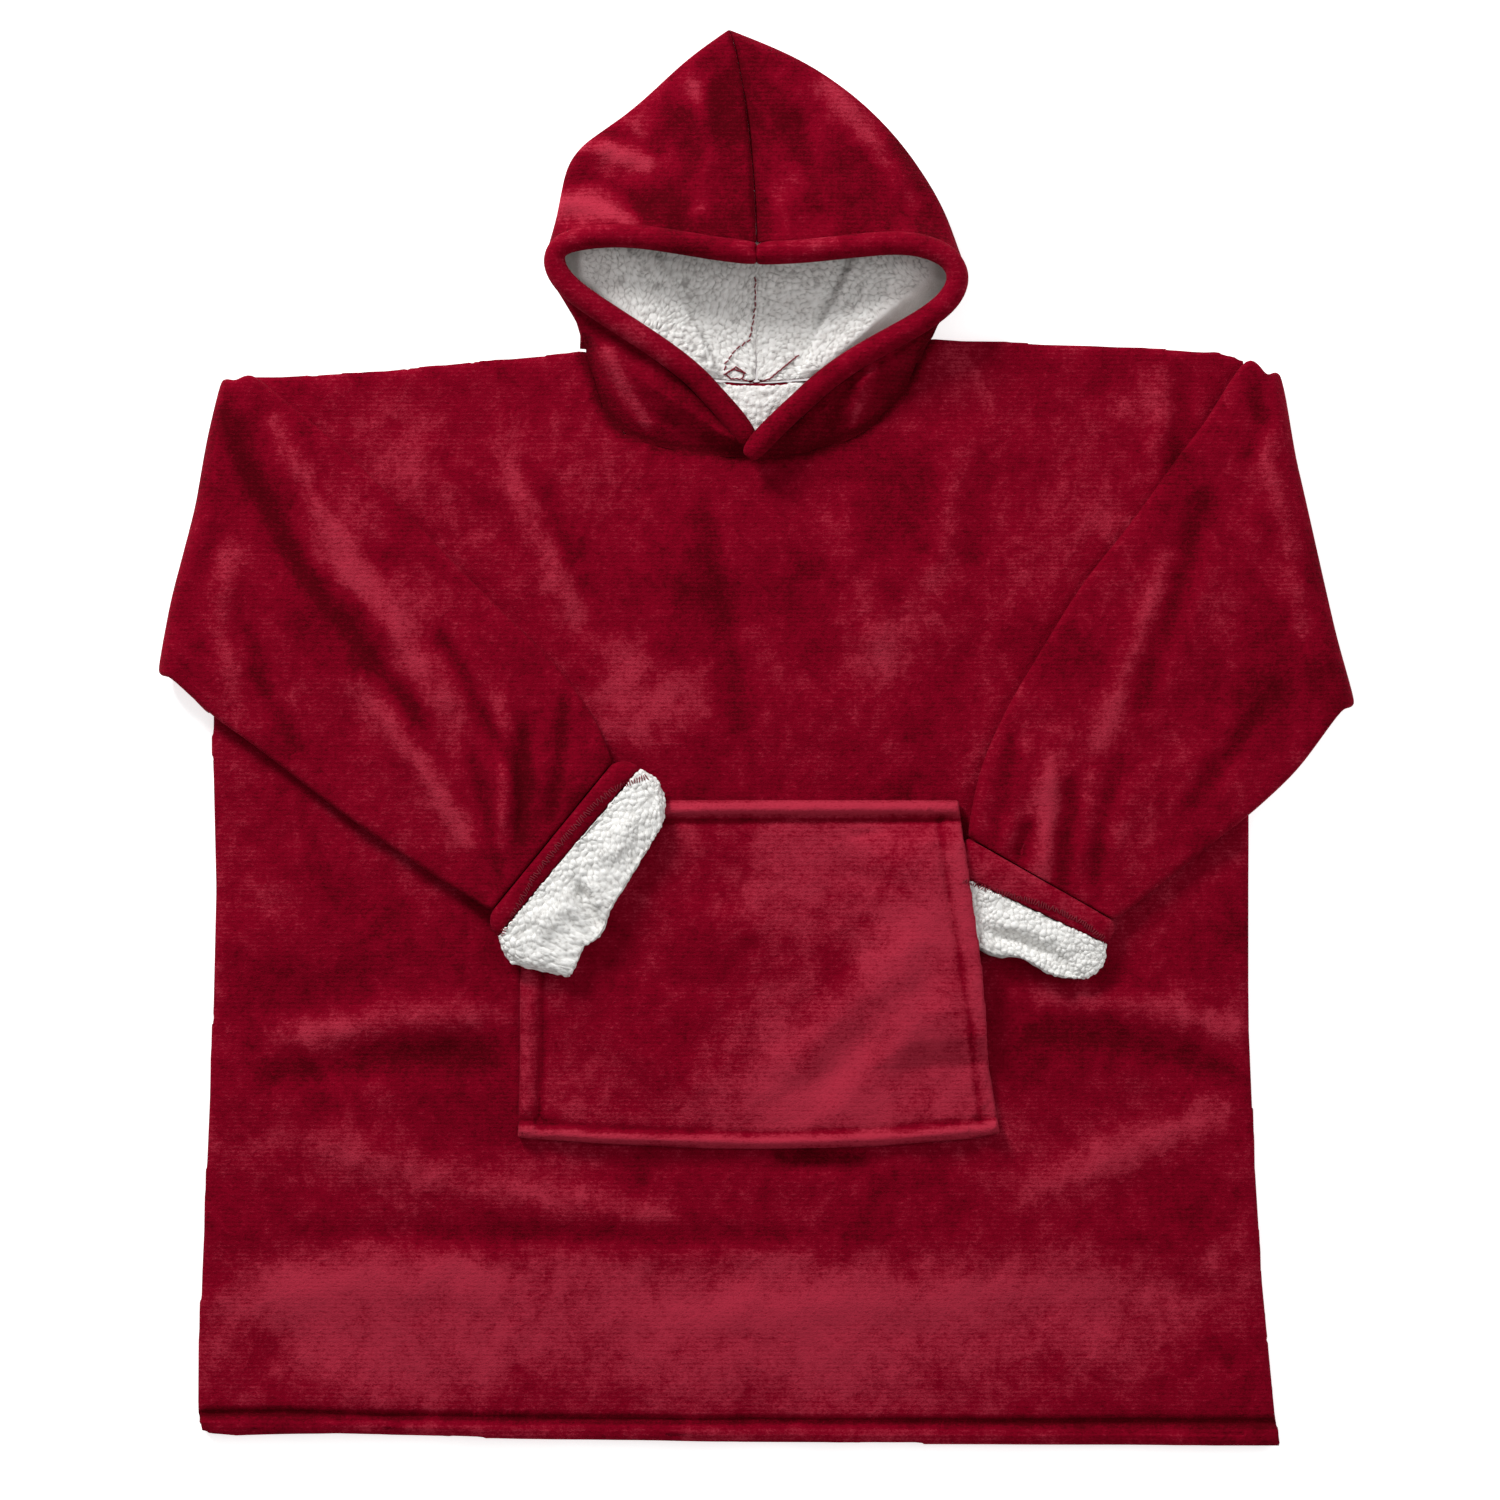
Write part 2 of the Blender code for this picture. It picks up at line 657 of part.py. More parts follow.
def build_pocket(finish):
    left_steps = [0.0, POCKET_HEM * 0.5, POCKET_HEM, POCKET_HEM + EDGE_STEP]
    top_steps = [0.0, POCKET_RIDGE * 0.5, POCKET_RIDGE, POCKET_RIDGE + EDGE_STEP, POCKET_RIDGE + TOP_STEP]
    rows = len(POCKET_LOW_ROWS) + len(POCKET_ROW_SHARES) + len(top_steps)
    columns = 2 * len(left_steps) + len(POCKET_SHARES)
    upper = np.zeros((rows, columns, 3))
    lower = np.zeros((rows, columns, 3))
    rim = {}
    for c in range(columns):
        if c < len(left_steps):
            across, offset, edge = 0.0, left_steps[c], left_steps[c]
        elif c < len(left_steps) + len(POCKET_SHARES):
            across, offset, edge = POCKET_SHARES[c - len(left_steps)], 0.0, None
        else:
            step = left_steps[columns - 1 - c]
            across, offset, edge = 1.0, -step, step
        x_mid = POCKET_SIDES[-1][1] + (POCKET_SIDES[-1][2] - POCKET_SIDES[-1][1]) * across + offset
        y_low = float(np.interp(x_mid, [p[0] for p in POCKET_BOTTOM], [p[1] for p in POCKET_BOTTOM]))
        span = POCKET_TOP_Y - y_low
        heights = [y_low + s for s in POCKET_LOW_ROWS]
        heights += [POCKET_TOP_Y - span * s for s in POCKET_ROW_SHARES]
        heights += [POCKET_TOP_Y - s for s in reversed(top_steps)]
        for r, y in enumerate(heights):
            x0, x1 = [float(np.interp(-y, [-p[0] for p in POCKET_SIDES], [p[i] for p in POCKET_SIDES]))
                      for i in (1, 2)]
            x = x0 + (x1 - x0) * across + offset
            px = min(max(x, x0 + POCKET_INSET), x1 - POCKET_INSET)
            py = min(max(y, y_low + POCKET_INSET), POCKET_TOP_Y - POCKET_INSET)
            lift = float(tuck_height(px, py))
            hem = 0.0
            if edge == left_steps[1] or r == 1 or r == rows - 2:
                hem = RIDGE_HEIGHT
            if edge == left_steps[2] or r == 2 or r == rows - 3:
                hem = -STITCH_SINK
            if px < UNDER_CUFF_X and py > UNDER_CUFF_Y:
                hem = min(hem, 0.0)
            base = BODY_TOP + GAP + lift
            lower[r, c] = (px, py, base)
            upper[r, c] = (px, py, base + POCKET_WALL + hem)
            rim[(r, c)] = (x, y, base + POCKET_WALL / 2)
    middle = np.array([rim[i] for i in edge_loop(rows, columns)])
    wall("pocket", upper, lower, finish, middle)


def seam_x(y):
    return float(np.interp(y, [p[0] for p in CENTRE_SEAM], [p[1] for p in CENTRE_SEAM]))


HOOD_SHARES = [0.0, 0.05, 0.11, 0.17, 0.23, 0.29, 0.35, 0.41, 0.47]
HOOD_SHARES += [0.53, 0.59, 0.65, 0.71, 0.77, 0.83, 0.89, 0.94, 1.0]


def hood_rows(table, sign):
    """Rows of the hood's middle surface, each from the face edge over the side fold to the back seam."""
    shares = [row[0] for row in table]

    def at(share, column):
        return float(np.interp(share, shares, [row[column] for row in table]))

    def path(share, columns):
        return np.array([at(share, c) for c in columns])

    neck = [row for row in TOP_EDGE if NECK_FROM < row[0] * sign < NECK_TO]
    neck.sort(key=lambda row: abs(row[0]))
    front_neck = [np.array([row[0], row[1]], float) for row in neck]
    back_neck = [np.array([row[0], row[2]], float) for row in neck]
    centre = np.array([0.0, NECK_MIDDLE_Y])
    rows = []
    rolls = []
    for share in HOOD_SHARES:
        roll = path(share, (1, 2, 3))
        ahead, behind = min(share + PATH_STEP, 1.0), max(share - PATH_STEP, 0.0)
        tangent = unit(path(ahead, (1, 2)) - path(behind, (1, 2)))
        out = np.array([-tangent[1], tangent[0]]) * -sign
        side = path(share, (5, 6))
        side_tangent = unit(path(ahead, (5, 6)) - path(behind, (5, 6)))
        side_out = np.array([-side_tangent[1], side_tangent[0]]) * -sign
        if share == 1.0:
            out = np.array([0.0, 1.0])
        settled = float(smooth_step(share / SIDE_SETTLES))
        side_out = unit(side_out * settled + np.array([float(sign), 0.0]) * (1 - settled))
        if share == 1.0:
            side_out = unit(np.array([-0.3, 1.0]))
        turn = math.radians(at(share, 4))
        leave = np.array([out[0] * math.cos(turn), out[1] * math.cos(turn), -math.sin(turn)])
        rolls.append((roll, leave))
        fold = NECK_FOLD + (HOOD_FOLD - NECK_FOLD) * float(smooth_step(share / FOLD_SETTLES))
        low = HOOD_WALL / 2
        first = roll + leave * (ROLL_RADIUS + SEAM_GAP)
        arc_centre = side - side_out * (fold + HOOD_WALL / 2)
        arc = []
        start = math.pi / 2 - ARC_LEAN * turn * smooth_step(share / ARC_SETTLES)
        for angle in np.linspace(start, -math.pi / 2, ARC_POINTS):
            flat = arc_centre + side_out * fold * math.cos(angle)
            arc.append(np.array([flat[0], flat[1], low + fold * (1 + math.sin(angle))]))
        top = arc[0]
        pull = first + leave * PANEL_PULL * np.linalg.norm(top - first)
        row = [first]
        for span in PANEL_SPANS:
            point = first * (1 - span) ** 2 + pull * 2 * span * (1 - span) + top * span ** 2
            crown = float(smooth_step((share - PUFF_START) / PUFF_RAMP))
            point[2] += CROWN_PUFF * math.sin(math.pi * span) * crown
            row.append(point)
        row += arc[1:]
        back_y = BACK_NECK_Y + SEAM_GAP / 2 + (BACK_SEAM_TOP - BACK_NECK_Y) * share
        back = np.array([seam_x(back_y), back_y, low])
        bottom = row[-1]
        for span in BACK_SPANS:
            row.append(bottom + (back - bottom) * span)
        row = np.array(row)
        if share == 0.0:
            goals = [np.array([sign * NECK_CORNER, FRONT_NECK_Y + NECK_GAP])]
            goals += [p + unit(centre - p) * NECK_GAP for p in front_neck]
            goals.insert(1, (goals[0] + goals[1]) / 2)
            front_shift = np.array([[*goal, NECK_Z] for goal in goals]) - row[0:7]
            back_goal = []
            for span in BACK_SPANS[:-1]:
                x = row[11][0] * (1 - span)
                neck_x = [0.0] + [abs(p[0]) for p in back_neck]
                y = np.interp(abs(x), neck_x, [BACK_NECK_Y] + [p[1] for p in back_neck])
                back_goal.append((x, y + BACK_NECK_GAP))
            back_shift = np.array(back_goal) - row[12:15, :2]
        weight = (1 - share) ** NECK_FADE
        corner = (1 - share) ** CORNER_FADE
        row[0:7] += front_shift * np.array([corner, corner] + [weight] * 5)[:, None]
        row[12:15, :2] += back_shift * weight
        if share == 1.0:
            for i in range(len(row)):
                row[i][0] = seam_x(row[i][1])
        row[-1][0] = seam_x(row[-1][1])
        rows.append(row)
    rows = np.array(rows)
    ease = np.interp(np.arange(rows.shape[1]), [2, 5], [0.0, 0.5])[:, None]
    for _ in range(SMOOTH_PASSES):
        mean = (rows[0:NECK_ROWS] + rows[2:NECK_ROWS + 2]) / 2
        rows[1:NECK_ROWS + 1, :-1] += ((mean - rows[1:NECK_ROWS + 1]) * ease)[:, :-1]
    return rows, rolls


def grid_normals(grid):
    """Normals of a grid of points, eased between neighbours so that offset layers stay apart."""
    along_rows = np.gradient(grid, axis=0)
    along_columns = np.gradient(grid, axis=1)
    normal = unit(np.cross(along_columns, along_rows))
    for _ in range(NORMAL_PASSES):
        padded = np.pad(normal, ((1, 1), (0, 0), (0, 0)), mode="edge")
        normal = unit(2 * normal + padded[:-2] + padded[2:])
    return normal


def on_seam(points, sign, rows, columns):
    """Keeps a hood half on its own side of the centre seam, and its seam edges exactly beside it."""
    for r in range(rows):
        for c in range(columns):
            x, y = points[r, c, 0], points[r, c, 1]
            limit = seam_x(y)
            if r == rows - 1 or c == columns - 1:
                points[r, c, 0] = limit + sign * GAP / 2
            elif sign < 0:
                points[r, c, 0] = min(x, limit - GAP)
            else:
                points[r, c, 0] = max(x, limit + GAP)
    return points


def build_hood_half(side, table, sign, fleece, sherpa, dark):
    grid, rolls = hood_rows(table, sign)
    normal = grid_normals(grid)
    turned = normal[14, 4, 2] < 0
    if turned:
        normal = -normal
    normal[-1, :, 0] = 0.0
    normal[-1] = unit(normal[-1])
    normal[:, -1] = np.array([0.0, 0.0, -1.0])
    rows, columns = grid.shape[:2]

    def layer(offset):
        return on_seam(grid + normal * offset, sign, rows, columns)

    half = HOOD_WALL / 2
    outer, inner = layer(half), layer(-half)
    pair = (inner, outer) if turned else (outer, inner)
    wall("hood_" + side, pair[0], pair[1], fleece)
    near, far = layer(-half - LINING_GAP), layer(-half - LINING_GAP - LINING_WALL)
    pair = (far, near) if turned else (near, far)
    wall("hood_lining_" + side, pair[0], pair[1], sherpa)
    build_roll("hood_hem_" + side, rolls, sign, dark)


def build_roll(name, rolls, sign, finish):
    """Rolled hem of the face opening: a round tube with closed ends."""
    start, leave = rolls[0]
    rolls = [(start - unit(rolls[1][0] - start) * ROLL_TIP, leave)] + rolls
    centres = [r[0] for r in rolls]
    points = []
    for i, (centre, leave) in enumerate(rolls):
        ahead, behind = centres[min(i + 1, len(rolls) - 1)], centres[max(i - 1, 0)]
        tangent = unit(ahead - behind)
        if i == len(rolls) - 1:
            tangent = np.array([-float(sign), 0.0, 0.0])
            centre = np.array([sign * GAP / 2, centre[1], centre[2]])
        first = unit(leave - tangent * np.dot(leave, tangent))
        second = np.cross(tangent, first)
        radius = ROLL_RADIUS if i else ROLL_RADIUS * TIP_SHARE
        for k in range(ROLL_SIDES):
            a = 2 * math.pi * k / ROLL_SIDES
            points.append(centre + radius * (first * math.cos(a) + second * math.sin(a)))
    faces = []
    for i in range(len(rolls) - 1):
        for k in range(ROLL_SIDES):
            n = (k + 1) % ROLL_SIDES
            here, beyond = i * ROLL_SIDES, (i + 1) * ROLL_SIDES
            faces.append((here + k, here + n, beyond + n, beyond + k))
    faces.append(tuple(reversed(range(ROLL_SIDES))))
    last = (len(rolls) - 1) * ROLL_SIDES
    faces.append(tuple(range(last, last + ROLL_SIDES)))
    return add_solid(name, points, faces, finish)


def main():
    clear_scene()
    fleece = material("plush_fleece", FLEECE, 0.9)
    dark = material("plush_fleece_edge", FLEECE_DARK, 0.9)
    sherpa = material("sherpa", SHERPA, 0.95)
    build_body(fleece)
    build_pocket(fleece)
    build_sleeve("sleeve_right", SLEEVE_RIGHT, FOLD_RIGHT, ARMHOLE_RIGHT, fleece, -1)
    build_sleeve("sleeve_left", SLEEVE_LEFT, FOLD_LEFT, ARMHOLE_LEFT, fleece, 1)
    build_cuff("cuff_band_right", CUFF_RIGHT_BAND, SLEEVE_STACK, SLIT, dark, -1, BAND_CROWN_RIGHT)
    build_cuff("cuff_band_left", CUFF_LEFT_BAND, SLEEVE_STACK, SLIT, dark, 1, BAND_CROWN_LEFT)
    build_cuff("cuff_right", CUFF_RIGHT_MOUTH, CUFF_STACK, MOUTH_SLIT, sherpa, -1, MOUTH_CROWN_RIGHT)
    build_cuff("cuff_left", CUFF_LEFT_MOUTH, TUCKED_CUFF_STACK, SLIT, sherpa, 1, MOUTH_CROWN_LEFT)
    build_hood_half("right", HOOD_RIGHT, -1, fleece, sherpa, dark)
    build_hood_half("left", HOOD_LEFT, 1, fleece, sherpa, dark)


main()
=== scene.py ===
# %% [markdown]
# # Plush blanket hoodie, laid flat
#
# An oversized hoodie of thick wine-red fleece lined with curly sherpa. It lies on its back with the
# sleeves folded forward over the front and the hood open towards the top. The lesson starts from the
# solid model of each cut piece and gives every piece the soft surface that its cloth has.

# %% Set up
import itertools
import math

import bmesh
import bpy
import mathutils.kdtree
import numpy as np
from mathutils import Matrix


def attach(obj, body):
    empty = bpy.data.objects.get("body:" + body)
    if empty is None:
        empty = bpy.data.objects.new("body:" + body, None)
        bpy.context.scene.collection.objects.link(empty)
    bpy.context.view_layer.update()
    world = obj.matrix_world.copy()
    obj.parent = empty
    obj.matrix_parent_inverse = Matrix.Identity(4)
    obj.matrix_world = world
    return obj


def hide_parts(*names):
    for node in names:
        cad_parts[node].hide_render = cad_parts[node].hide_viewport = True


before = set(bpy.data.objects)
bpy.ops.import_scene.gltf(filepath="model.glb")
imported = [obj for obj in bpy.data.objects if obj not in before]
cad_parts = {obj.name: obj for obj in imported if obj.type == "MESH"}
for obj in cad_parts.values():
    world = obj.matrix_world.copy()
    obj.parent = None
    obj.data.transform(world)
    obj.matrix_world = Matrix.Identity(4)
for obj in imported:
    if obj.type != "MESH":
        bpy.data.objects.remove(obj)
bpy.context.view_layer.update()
MM = 0.001
SEED = 11

# %% [markdown]
# ## Copying a cut piece
#
# The solid model has loose triangles. A copy of a node is welded, so that one surface runs over the
# whole piece, and then it can be divided finely enough to carry folds. Working on a copy keeps the
# solid model as it is.


# %% Copy a node and weld it
def select_only(obj):
    bpy.ops.object.select_all(action="DESELECT")
    obj.select_set(True)
    bpy.context.view_layer.objects.active = obj


def welded_copy(node, name):
    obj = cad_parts[node].copy()
    obj.data = obj.data.copy()
    obj.name = name
    obj.data.name = name
    obj.parent = None
    for key in list(obj.keys()):
        del obj[key]
    bpy.context.scene.collection.objects.link(obj)
    obj.hide_render = False
    obj.hide_viewport = False
    obj.data.materials.clear()
    select_only(obj)
    bpy.ops.object.mode_set(mode="EDIT")
    bpy.ops.mesh.select_all(action="SELECT")
    bpy.ops.mesh.remove_doubles(threshold=0.00001)
    bpy.ops.mesh.tris_convert_to_quads(face_threshold=0.9, shape_threshold=1.2)
    bpy.ops.mesh.normals_make_consistent(inside=False)
    bpy.ops.object.mode_set(mode="OBJECT")
    return obj


# %% [markdown]
# ## Two ways to a fine surface
#
# The body panels and the pocket have wide flat parts with long thin triangles. An even voxel mesh
# gives them one cell size everywhere. The sleeves, the hood and the cuffs have narrow gaps inside
# that a voxel mesh would close, so their own grid is subdivided instead. Where curls or a seam need
# smaller cells, the long edges are halved until they are short enough.


# %% Voxel mesh and subdivision
RIM_ANGLE = math.radians(38.0)
RIM_HOLD = 0.55
CORNER_ANGLE = math.radians(125.0)


def even_mesh(obj, cell, passes):
    select_only(obj)
    obj.data.remesh_voxel_size = cell * MM
    obj.data.remesh_voxel_adaptivity = 0.0
    bpy.ops.object.voxel_remesh()
    smooth = obj.modifiers.new("soften", "SMOOTH")
    smooth.factor = 0.5
    smooth.iterations = passes
    smooth.use_x = False
    smooth.use_y = False
    bpy.ops.object.modifier_apply(modifier=smooth.name)
    bpy.ops.object.shade_smooth()
    return obj


def refine(obj, chosen, longest):
    """Halves the edges longer than a length, in millimetres, where their middle is chosen."""
    select_only(obj)
    while True:
        co, _ = read_points(obj)
        ends = np.empty(len(obj.data.edges) * 2, int)
        obj.data.edges.foreach_get("vertices", ends)
        first, last = co[ends[0::2]], co[ends[1::2]]
        long_edges = np.linalg.norm(last - first, axis=1) > longest
        long_edges &= chosen(*((first + last) / 2.0).T)
        if not long_edges.any():
            return obj
        bpy.ops.object.mode_set(mode="EDIT")
        bpy.ops.mesh.select_mode(type="EDGE")
        bpy.ops.mesh.select_all(action="DESELECT")
        bpy.ops.object.mode_set(mode="OBJECT")
        obj.data.edges.foreach_set("select", long_edges)
        bpy.ops.object.mode_set(mode="EDIT")
        bpy.ops.mesh.subdivide(number_cuts=1)
        bpy.ops.object.mode_set(mode="OBJECT")


def hold_corners(obj):
    """Keeps rims crisp and corners in place when the grid is subdivided."""
    mesh = bmesh.new()
    mesh.from_mesh(obj.data)
    edge_hold = mesh.edges.layers.float.new("crease_edge")
    corner_hold = mesh.verts.layers.float.new("crease_vert")
    sharp = {}
    for edge in mesh.edges:
        if len(edge.link_faces) == 2 and edge.calc_face_angle(0.0) > RIM_ANGLE:
            edge[edge_hold] = RIM_HOLD
            for point in edge.verts:
                sharp.setdefault(point, []).append(edge.other_vert(point).co - point.co)
    for point, ways in sharp.items():
        turned = [a.angle(b, 0.0) for a, b in itertools.combinations(ways, 2)]
        if len(ways) == 2 and turned[0] < CORNER_ANGLE:
            point[corner_hold] = 1.0
    mesh.to_mesh(obj.data)
    mesh.free()


def subdivide(obj, levels, hold=True):
    if hold:
        hold_corners(obj)
    select_only(obj)
    divide = obj.modifiers.new("divide", "SUBSURF")
    divide.levels = levels
    divide.render_levels = levels
    bpy.ops.object.modifier_apply(modifier=divide.name)
    bpy.ops.object.shade_smooth()
    return obj


# %% [markdown]
# ## Folds placed one by one
#
# A crease in thick plush is a soft trough with a low swell on each side. Each row of a fold table is
# one crease: the points of its line in millimetres, how wide it is and how high it stands, with a
# negative height for a trough. The distance to the line shapes the surface, and the fold fades out
# towards its ends.


# %% Measure and shape with fold lines
FADE_STEEPNESS = 5.0
HEIGHT_AT_ENDS = 0.25
SWELL_AWAY = 2.1
SWELL_SHARE = 0.35


def line_distance(x, y, points):
    """Distance from a line through the points, and the share of the way along it."""
    points = np.array(points, float)
    steps = np.linalg.norm(np.diff(points, axis=0), axis=1)
    whole = steps.sum()
    best = np.full(x.shape, 1e9)
    share = np.zeros(x.shape)
    passed = 0.0
    for (x0, y0), (x1, y1), step in zip(points[:-1], points[1:], steps):
        along = ((x - x0) * (x1 - x0) + (y - y0) * (y1 - y0)) / step**2
        along = np.clip(along, 0.0, 1.0)
        away = np.hypot(x - x0 - along * (x1 - x0), y - y0 - along * (y1 - y0))
        nearer = away < best
        best = np.where(nearer, away, best)
        share = np.where(nearer, (passed + along * step) / whole, share)
        passed += step
    return best, share


def fold_field(x, y, rows):
    """Height of all the folds in a table at x, y in millimetres."""
    total = np.zeros(x.shape)
    for half_width, height, points in rows:
        away, share = line_distance(x, y, points)
        fade = np.clip(np.minimum(share, 1.0 - share) * FADE_STEEPNESS, 0.0, 1.0)
        core = np.exp(-((away / half_width) ** 2))
        beside = np.exp(-(((away - SWELL_AWAY * half_width) / half_width) ** 2))
        total += height * (HEIGHT_AT_ENDS + (1.0 - HEIGHT_AT_ENDS) * fade) * core
        total -= SWELL_SHARE * height * fade * beside
    return total


def wander(x, y, size, count, seed):
    """Soft random heights between about -1 and 1, with waves of about the given size."""
    random = np.random.default_rng(seed)
    total = np.zeros(x.shape)
    for _ in range(count):
        turn = random.uniform(0.0, 2.0 * math.pi)
        wave = 2.0 * math.pi / (size * random.uniform(0.6, 1.7))
        shift = random.uniform(0.0, 2.0 * math.pi)
        total += np.cos(wave * (x * math.cos(turn) + y * math.sin(turn)) + shift)
    return total / math.sqrt(count / 2.0) / 1.6


# %% Move a surface
FACING_STEEPNESS = 1.6


def read_points(obj):
    count = len(obj.data.vertices)
    co = np.empty(count * 3)
    normal = np.empty(count * 3)
    obj.data.vertices.foreach_get("co", co)
    obj.data.vertices.foreach_get("normal", normal)
    return co.reshape(-1, 3) / MM, normal.reshape(-1, 3)


def write_points(obj, co):
    obj.data.vertices.foreach_set("co", (co * MM).ravel())
    obj.data.update()


def shape_top(obj, height):
    """Lifts the upper surface by height(x, y) where it faces up, and leaves the rest."""
    co, normal = read_points(obj)
    facing = np.clip(normal[:, 2] * FACING_STEEPNESS, 0.0, 1.0)
    co[:, 2] += facing * height(co[:, 0], co[:, 1])
    write_points(obj, co)


def shape_under(obj, height):
    """Raises the lower surface by height(x, y), at least zero, where it faces down."""
    co, normal = read_points(obj)
    facing = np.clip(-normal[:, 2] * FACING_STEEPNESS, 0.0, 1.0)
    co[:, 2] += facing * np.maximum(height(co[:, 0], co[:, 1]), 0.0)
    write_points(obj, co)


def swell(obj, amount):
    """Puffs a piece out along its normals."""
    co, normal = read_points(obj)
    write_points(obj, co + normal * amount)


def spread(obj, line, centre, reach, amount):
    """Moves the edge along a line away from a centre, so that it presses on its neighbour."""
    co, _ = read_points(obj)
    near, _ = line_distance(co[:, 0], co[:, 1], line)
    weight = np.clip(1.0 - near / reach, 0.0, 1.0)
    way = co[:, :2] - np.array(centre)
    way /= np.linalg.norm(way, axis=1, keepdims=True)
    co[:, :2] += way * (amount * weight)[:, None]
    write_points(obj, co)


def settle(obj, line, reach, level, share):
    """Sinks what lies above a level, near a line, by a share of its height over it."""
    co, _ = read_points(obj)
    near, _ = line_distance(co[:, 0], co[:, 1], line)
    weight = share * np.clip(1.0 - near / reach, 0.0, 1.0)
    co[:, 2] -= weight * np.maximum(co[:, 2] - level, 0.0)
    write_points(obj, co)


def seat(obj, line, reach, lift):
    """Lifts a wall along a line, most at the line's start, so that it meets what lies on it."""
    co, _ = read_points(obj)
    near, share = line_distance(co[:, 0], co[:, 1], line)
    co[:, 2] += lift * np.clip(1.0 - near / reach, 0.0, 1.0) * (1.0 - share)
    write_points(obj, co)


def slide(obj, place, reach, move):
    """Moves the part of a piece that is within reach of a place, most at its middle."""
    co, _ = read_points(obj)
    near = np.clip(1.0 - np.linalg.norm(co - np.array(place), axis=1) / reach, 0.0, 1.0)
    near = near * near * (3.0 - 2.0 * near)
    write_points(obj, co + np.outer(near, move))


# %% [markdown]
# ## Shading nodes from arithmetic
#
# The finishes are built from noise and simple sums. A small class wraps a socket, so that a formula
# can be written as one, and one method makes any other node.


# %% Node arithmetic
class Value:
    def __init__(self, tree, socket):
        self.tree = tree
        self.socket = socket

    def math(self, operation, other, first=None):
        node = self.tree.nodes.new("ShaderNodeMath")
        node.operation = operation
        put(self.tree, node.inputs[0], self if first is None else first)
        put(self.tree, node.inputs[1], other)
        return Value(self.tree, node.outputs[0])

    def __add__(self, other):
        return self.math("ADD", other)

    def __radd__(self, other):
        return self.math("ADD", self, other)

    def __sub__(self, other):
        return self.math("SUBTRACT", other)

    def __rsub__(self, other):
        return self.math("SUBTRACT", self, other)

    def __mul__(self, other):
        return self.math("MULTIPLY", other)

    def __rmul__(self, other):
        return self.math("MULTIPLY", self, other)

    def ramp(self, low, high):
        """0 below low, 1 above high, and a smooth rise between."""
        node = self.tree.nodes.new("ShaderNodeMapRange")
        node.interpolation_type = "SMOOTHSTEP"
        put(self.tree, node.inputs["Value"], self)
        put(self.tree, node.inputs["From Min"], low)
        put(self.tree, node.inputs["From Max"], high)
        return Value(self.tree, node.outputs["Result"])


def put(tree, socket, value):
    if isinstance(value, Value):
        tree.links.new(value.socket, socket)
    else:
        socket.default_value = value


class Finish:
    """A material with one Principled shader, and short calls for the nodes that feed it."""

    def __init__(self, name, **constants):
        self.material = bpy.data.materials.new(name)
        self.material.use_nodes = True
        self.tree = self.material.node_tree
        self.shader = self.tree.nodes["Principled BSDF"]
        for key, value in constants.items():
            self.shader.inputs[key.replace("_", " ")].default_value = value

    def node(self, kind, settings, inputs, output=0):
        node = self.tree.nodes.new(kind)
        for key, value in settings.items():
            setattr(node, key, value)
        for key, value in inputs.items():
            put(self.tree, node.inputs[key], value)
        return Value(self.tree, node.outputs[output])

    def place(self):
        return self.node("ShaderNodeTexCoord", {}, {}, "Object")

    def stretched(self, scale):
        return self.node(
            "ShaderNodeMapping", {}, {"Vector": self.place(), "Scale": scale}, "Vector"
        )

    def noise(self, scale, detail=3.0, rough=0.55, vector=None, distort=0.0):
        inputs = {
            "Vector": self.place() if vector is None else vector,
            "Scale": scale,
            "Detail": detail,
            "Roughness": rough,
            "Distortion": distort,
        }
        return self.node("ShaderNodeTexNoise", {}, inputs, "Fac")

    def attribute(self, name):
        return self.node("ShaderNodeAttribute", {"attribute_name": name}, {}, "Fac")

    def mix(self, share, first, second):
        node = self.tree.nodes.new("ShaderNodeMix")
        node.data_type = "RGBA"
        put(self.tree, node.inputs[0], share)
        put(self.tree, node.inputs[6], first)
        put(self.tree, node.inputs[7], second)
        return Value(self.tree, node.outputs[2])

    def bump(self, height, distance, strength=1.0):
        inputs = {"Height": height, "Distance": distance, "Strength": strength}
        return self.node("ShaderNodeBump", {}, inputs, "Normal")

    def feed(self, socket, value):
        put(self.tree, self.shader.inputs[socket], value)


def colour(red, green, blue):
    """A shader colour from 0-255 screen values."""
    parts = [c / 255.0 for c in (red, green, blue)]
    return tuple(c / 12.92 if c < 0.04045 else ((c + 0.055) / 1.055) ** 2.4 for c in parts) + (1.0,)


# %% [markdown]
# ## The plush
#
# Brushed fleece looks dark where its nap leans towards the light and pale where it leans away. A
# hand or a fold leaves such patches with soft ragged edges. The patches come from a painted value
# on the mesh, broken up by noise. The same value also holds painted shade in the creases and seam
# grooves and painted highlight on the fold ridges. The knit shows through the nap as fine broken
# rows. A sheen gives the soft light edge of every fold.

# %% Fleece finish
DARK = colour(74, 0, 9)
MIDDLE = colour(122, 0, 26)
PALE = colour(166, 42, 62)


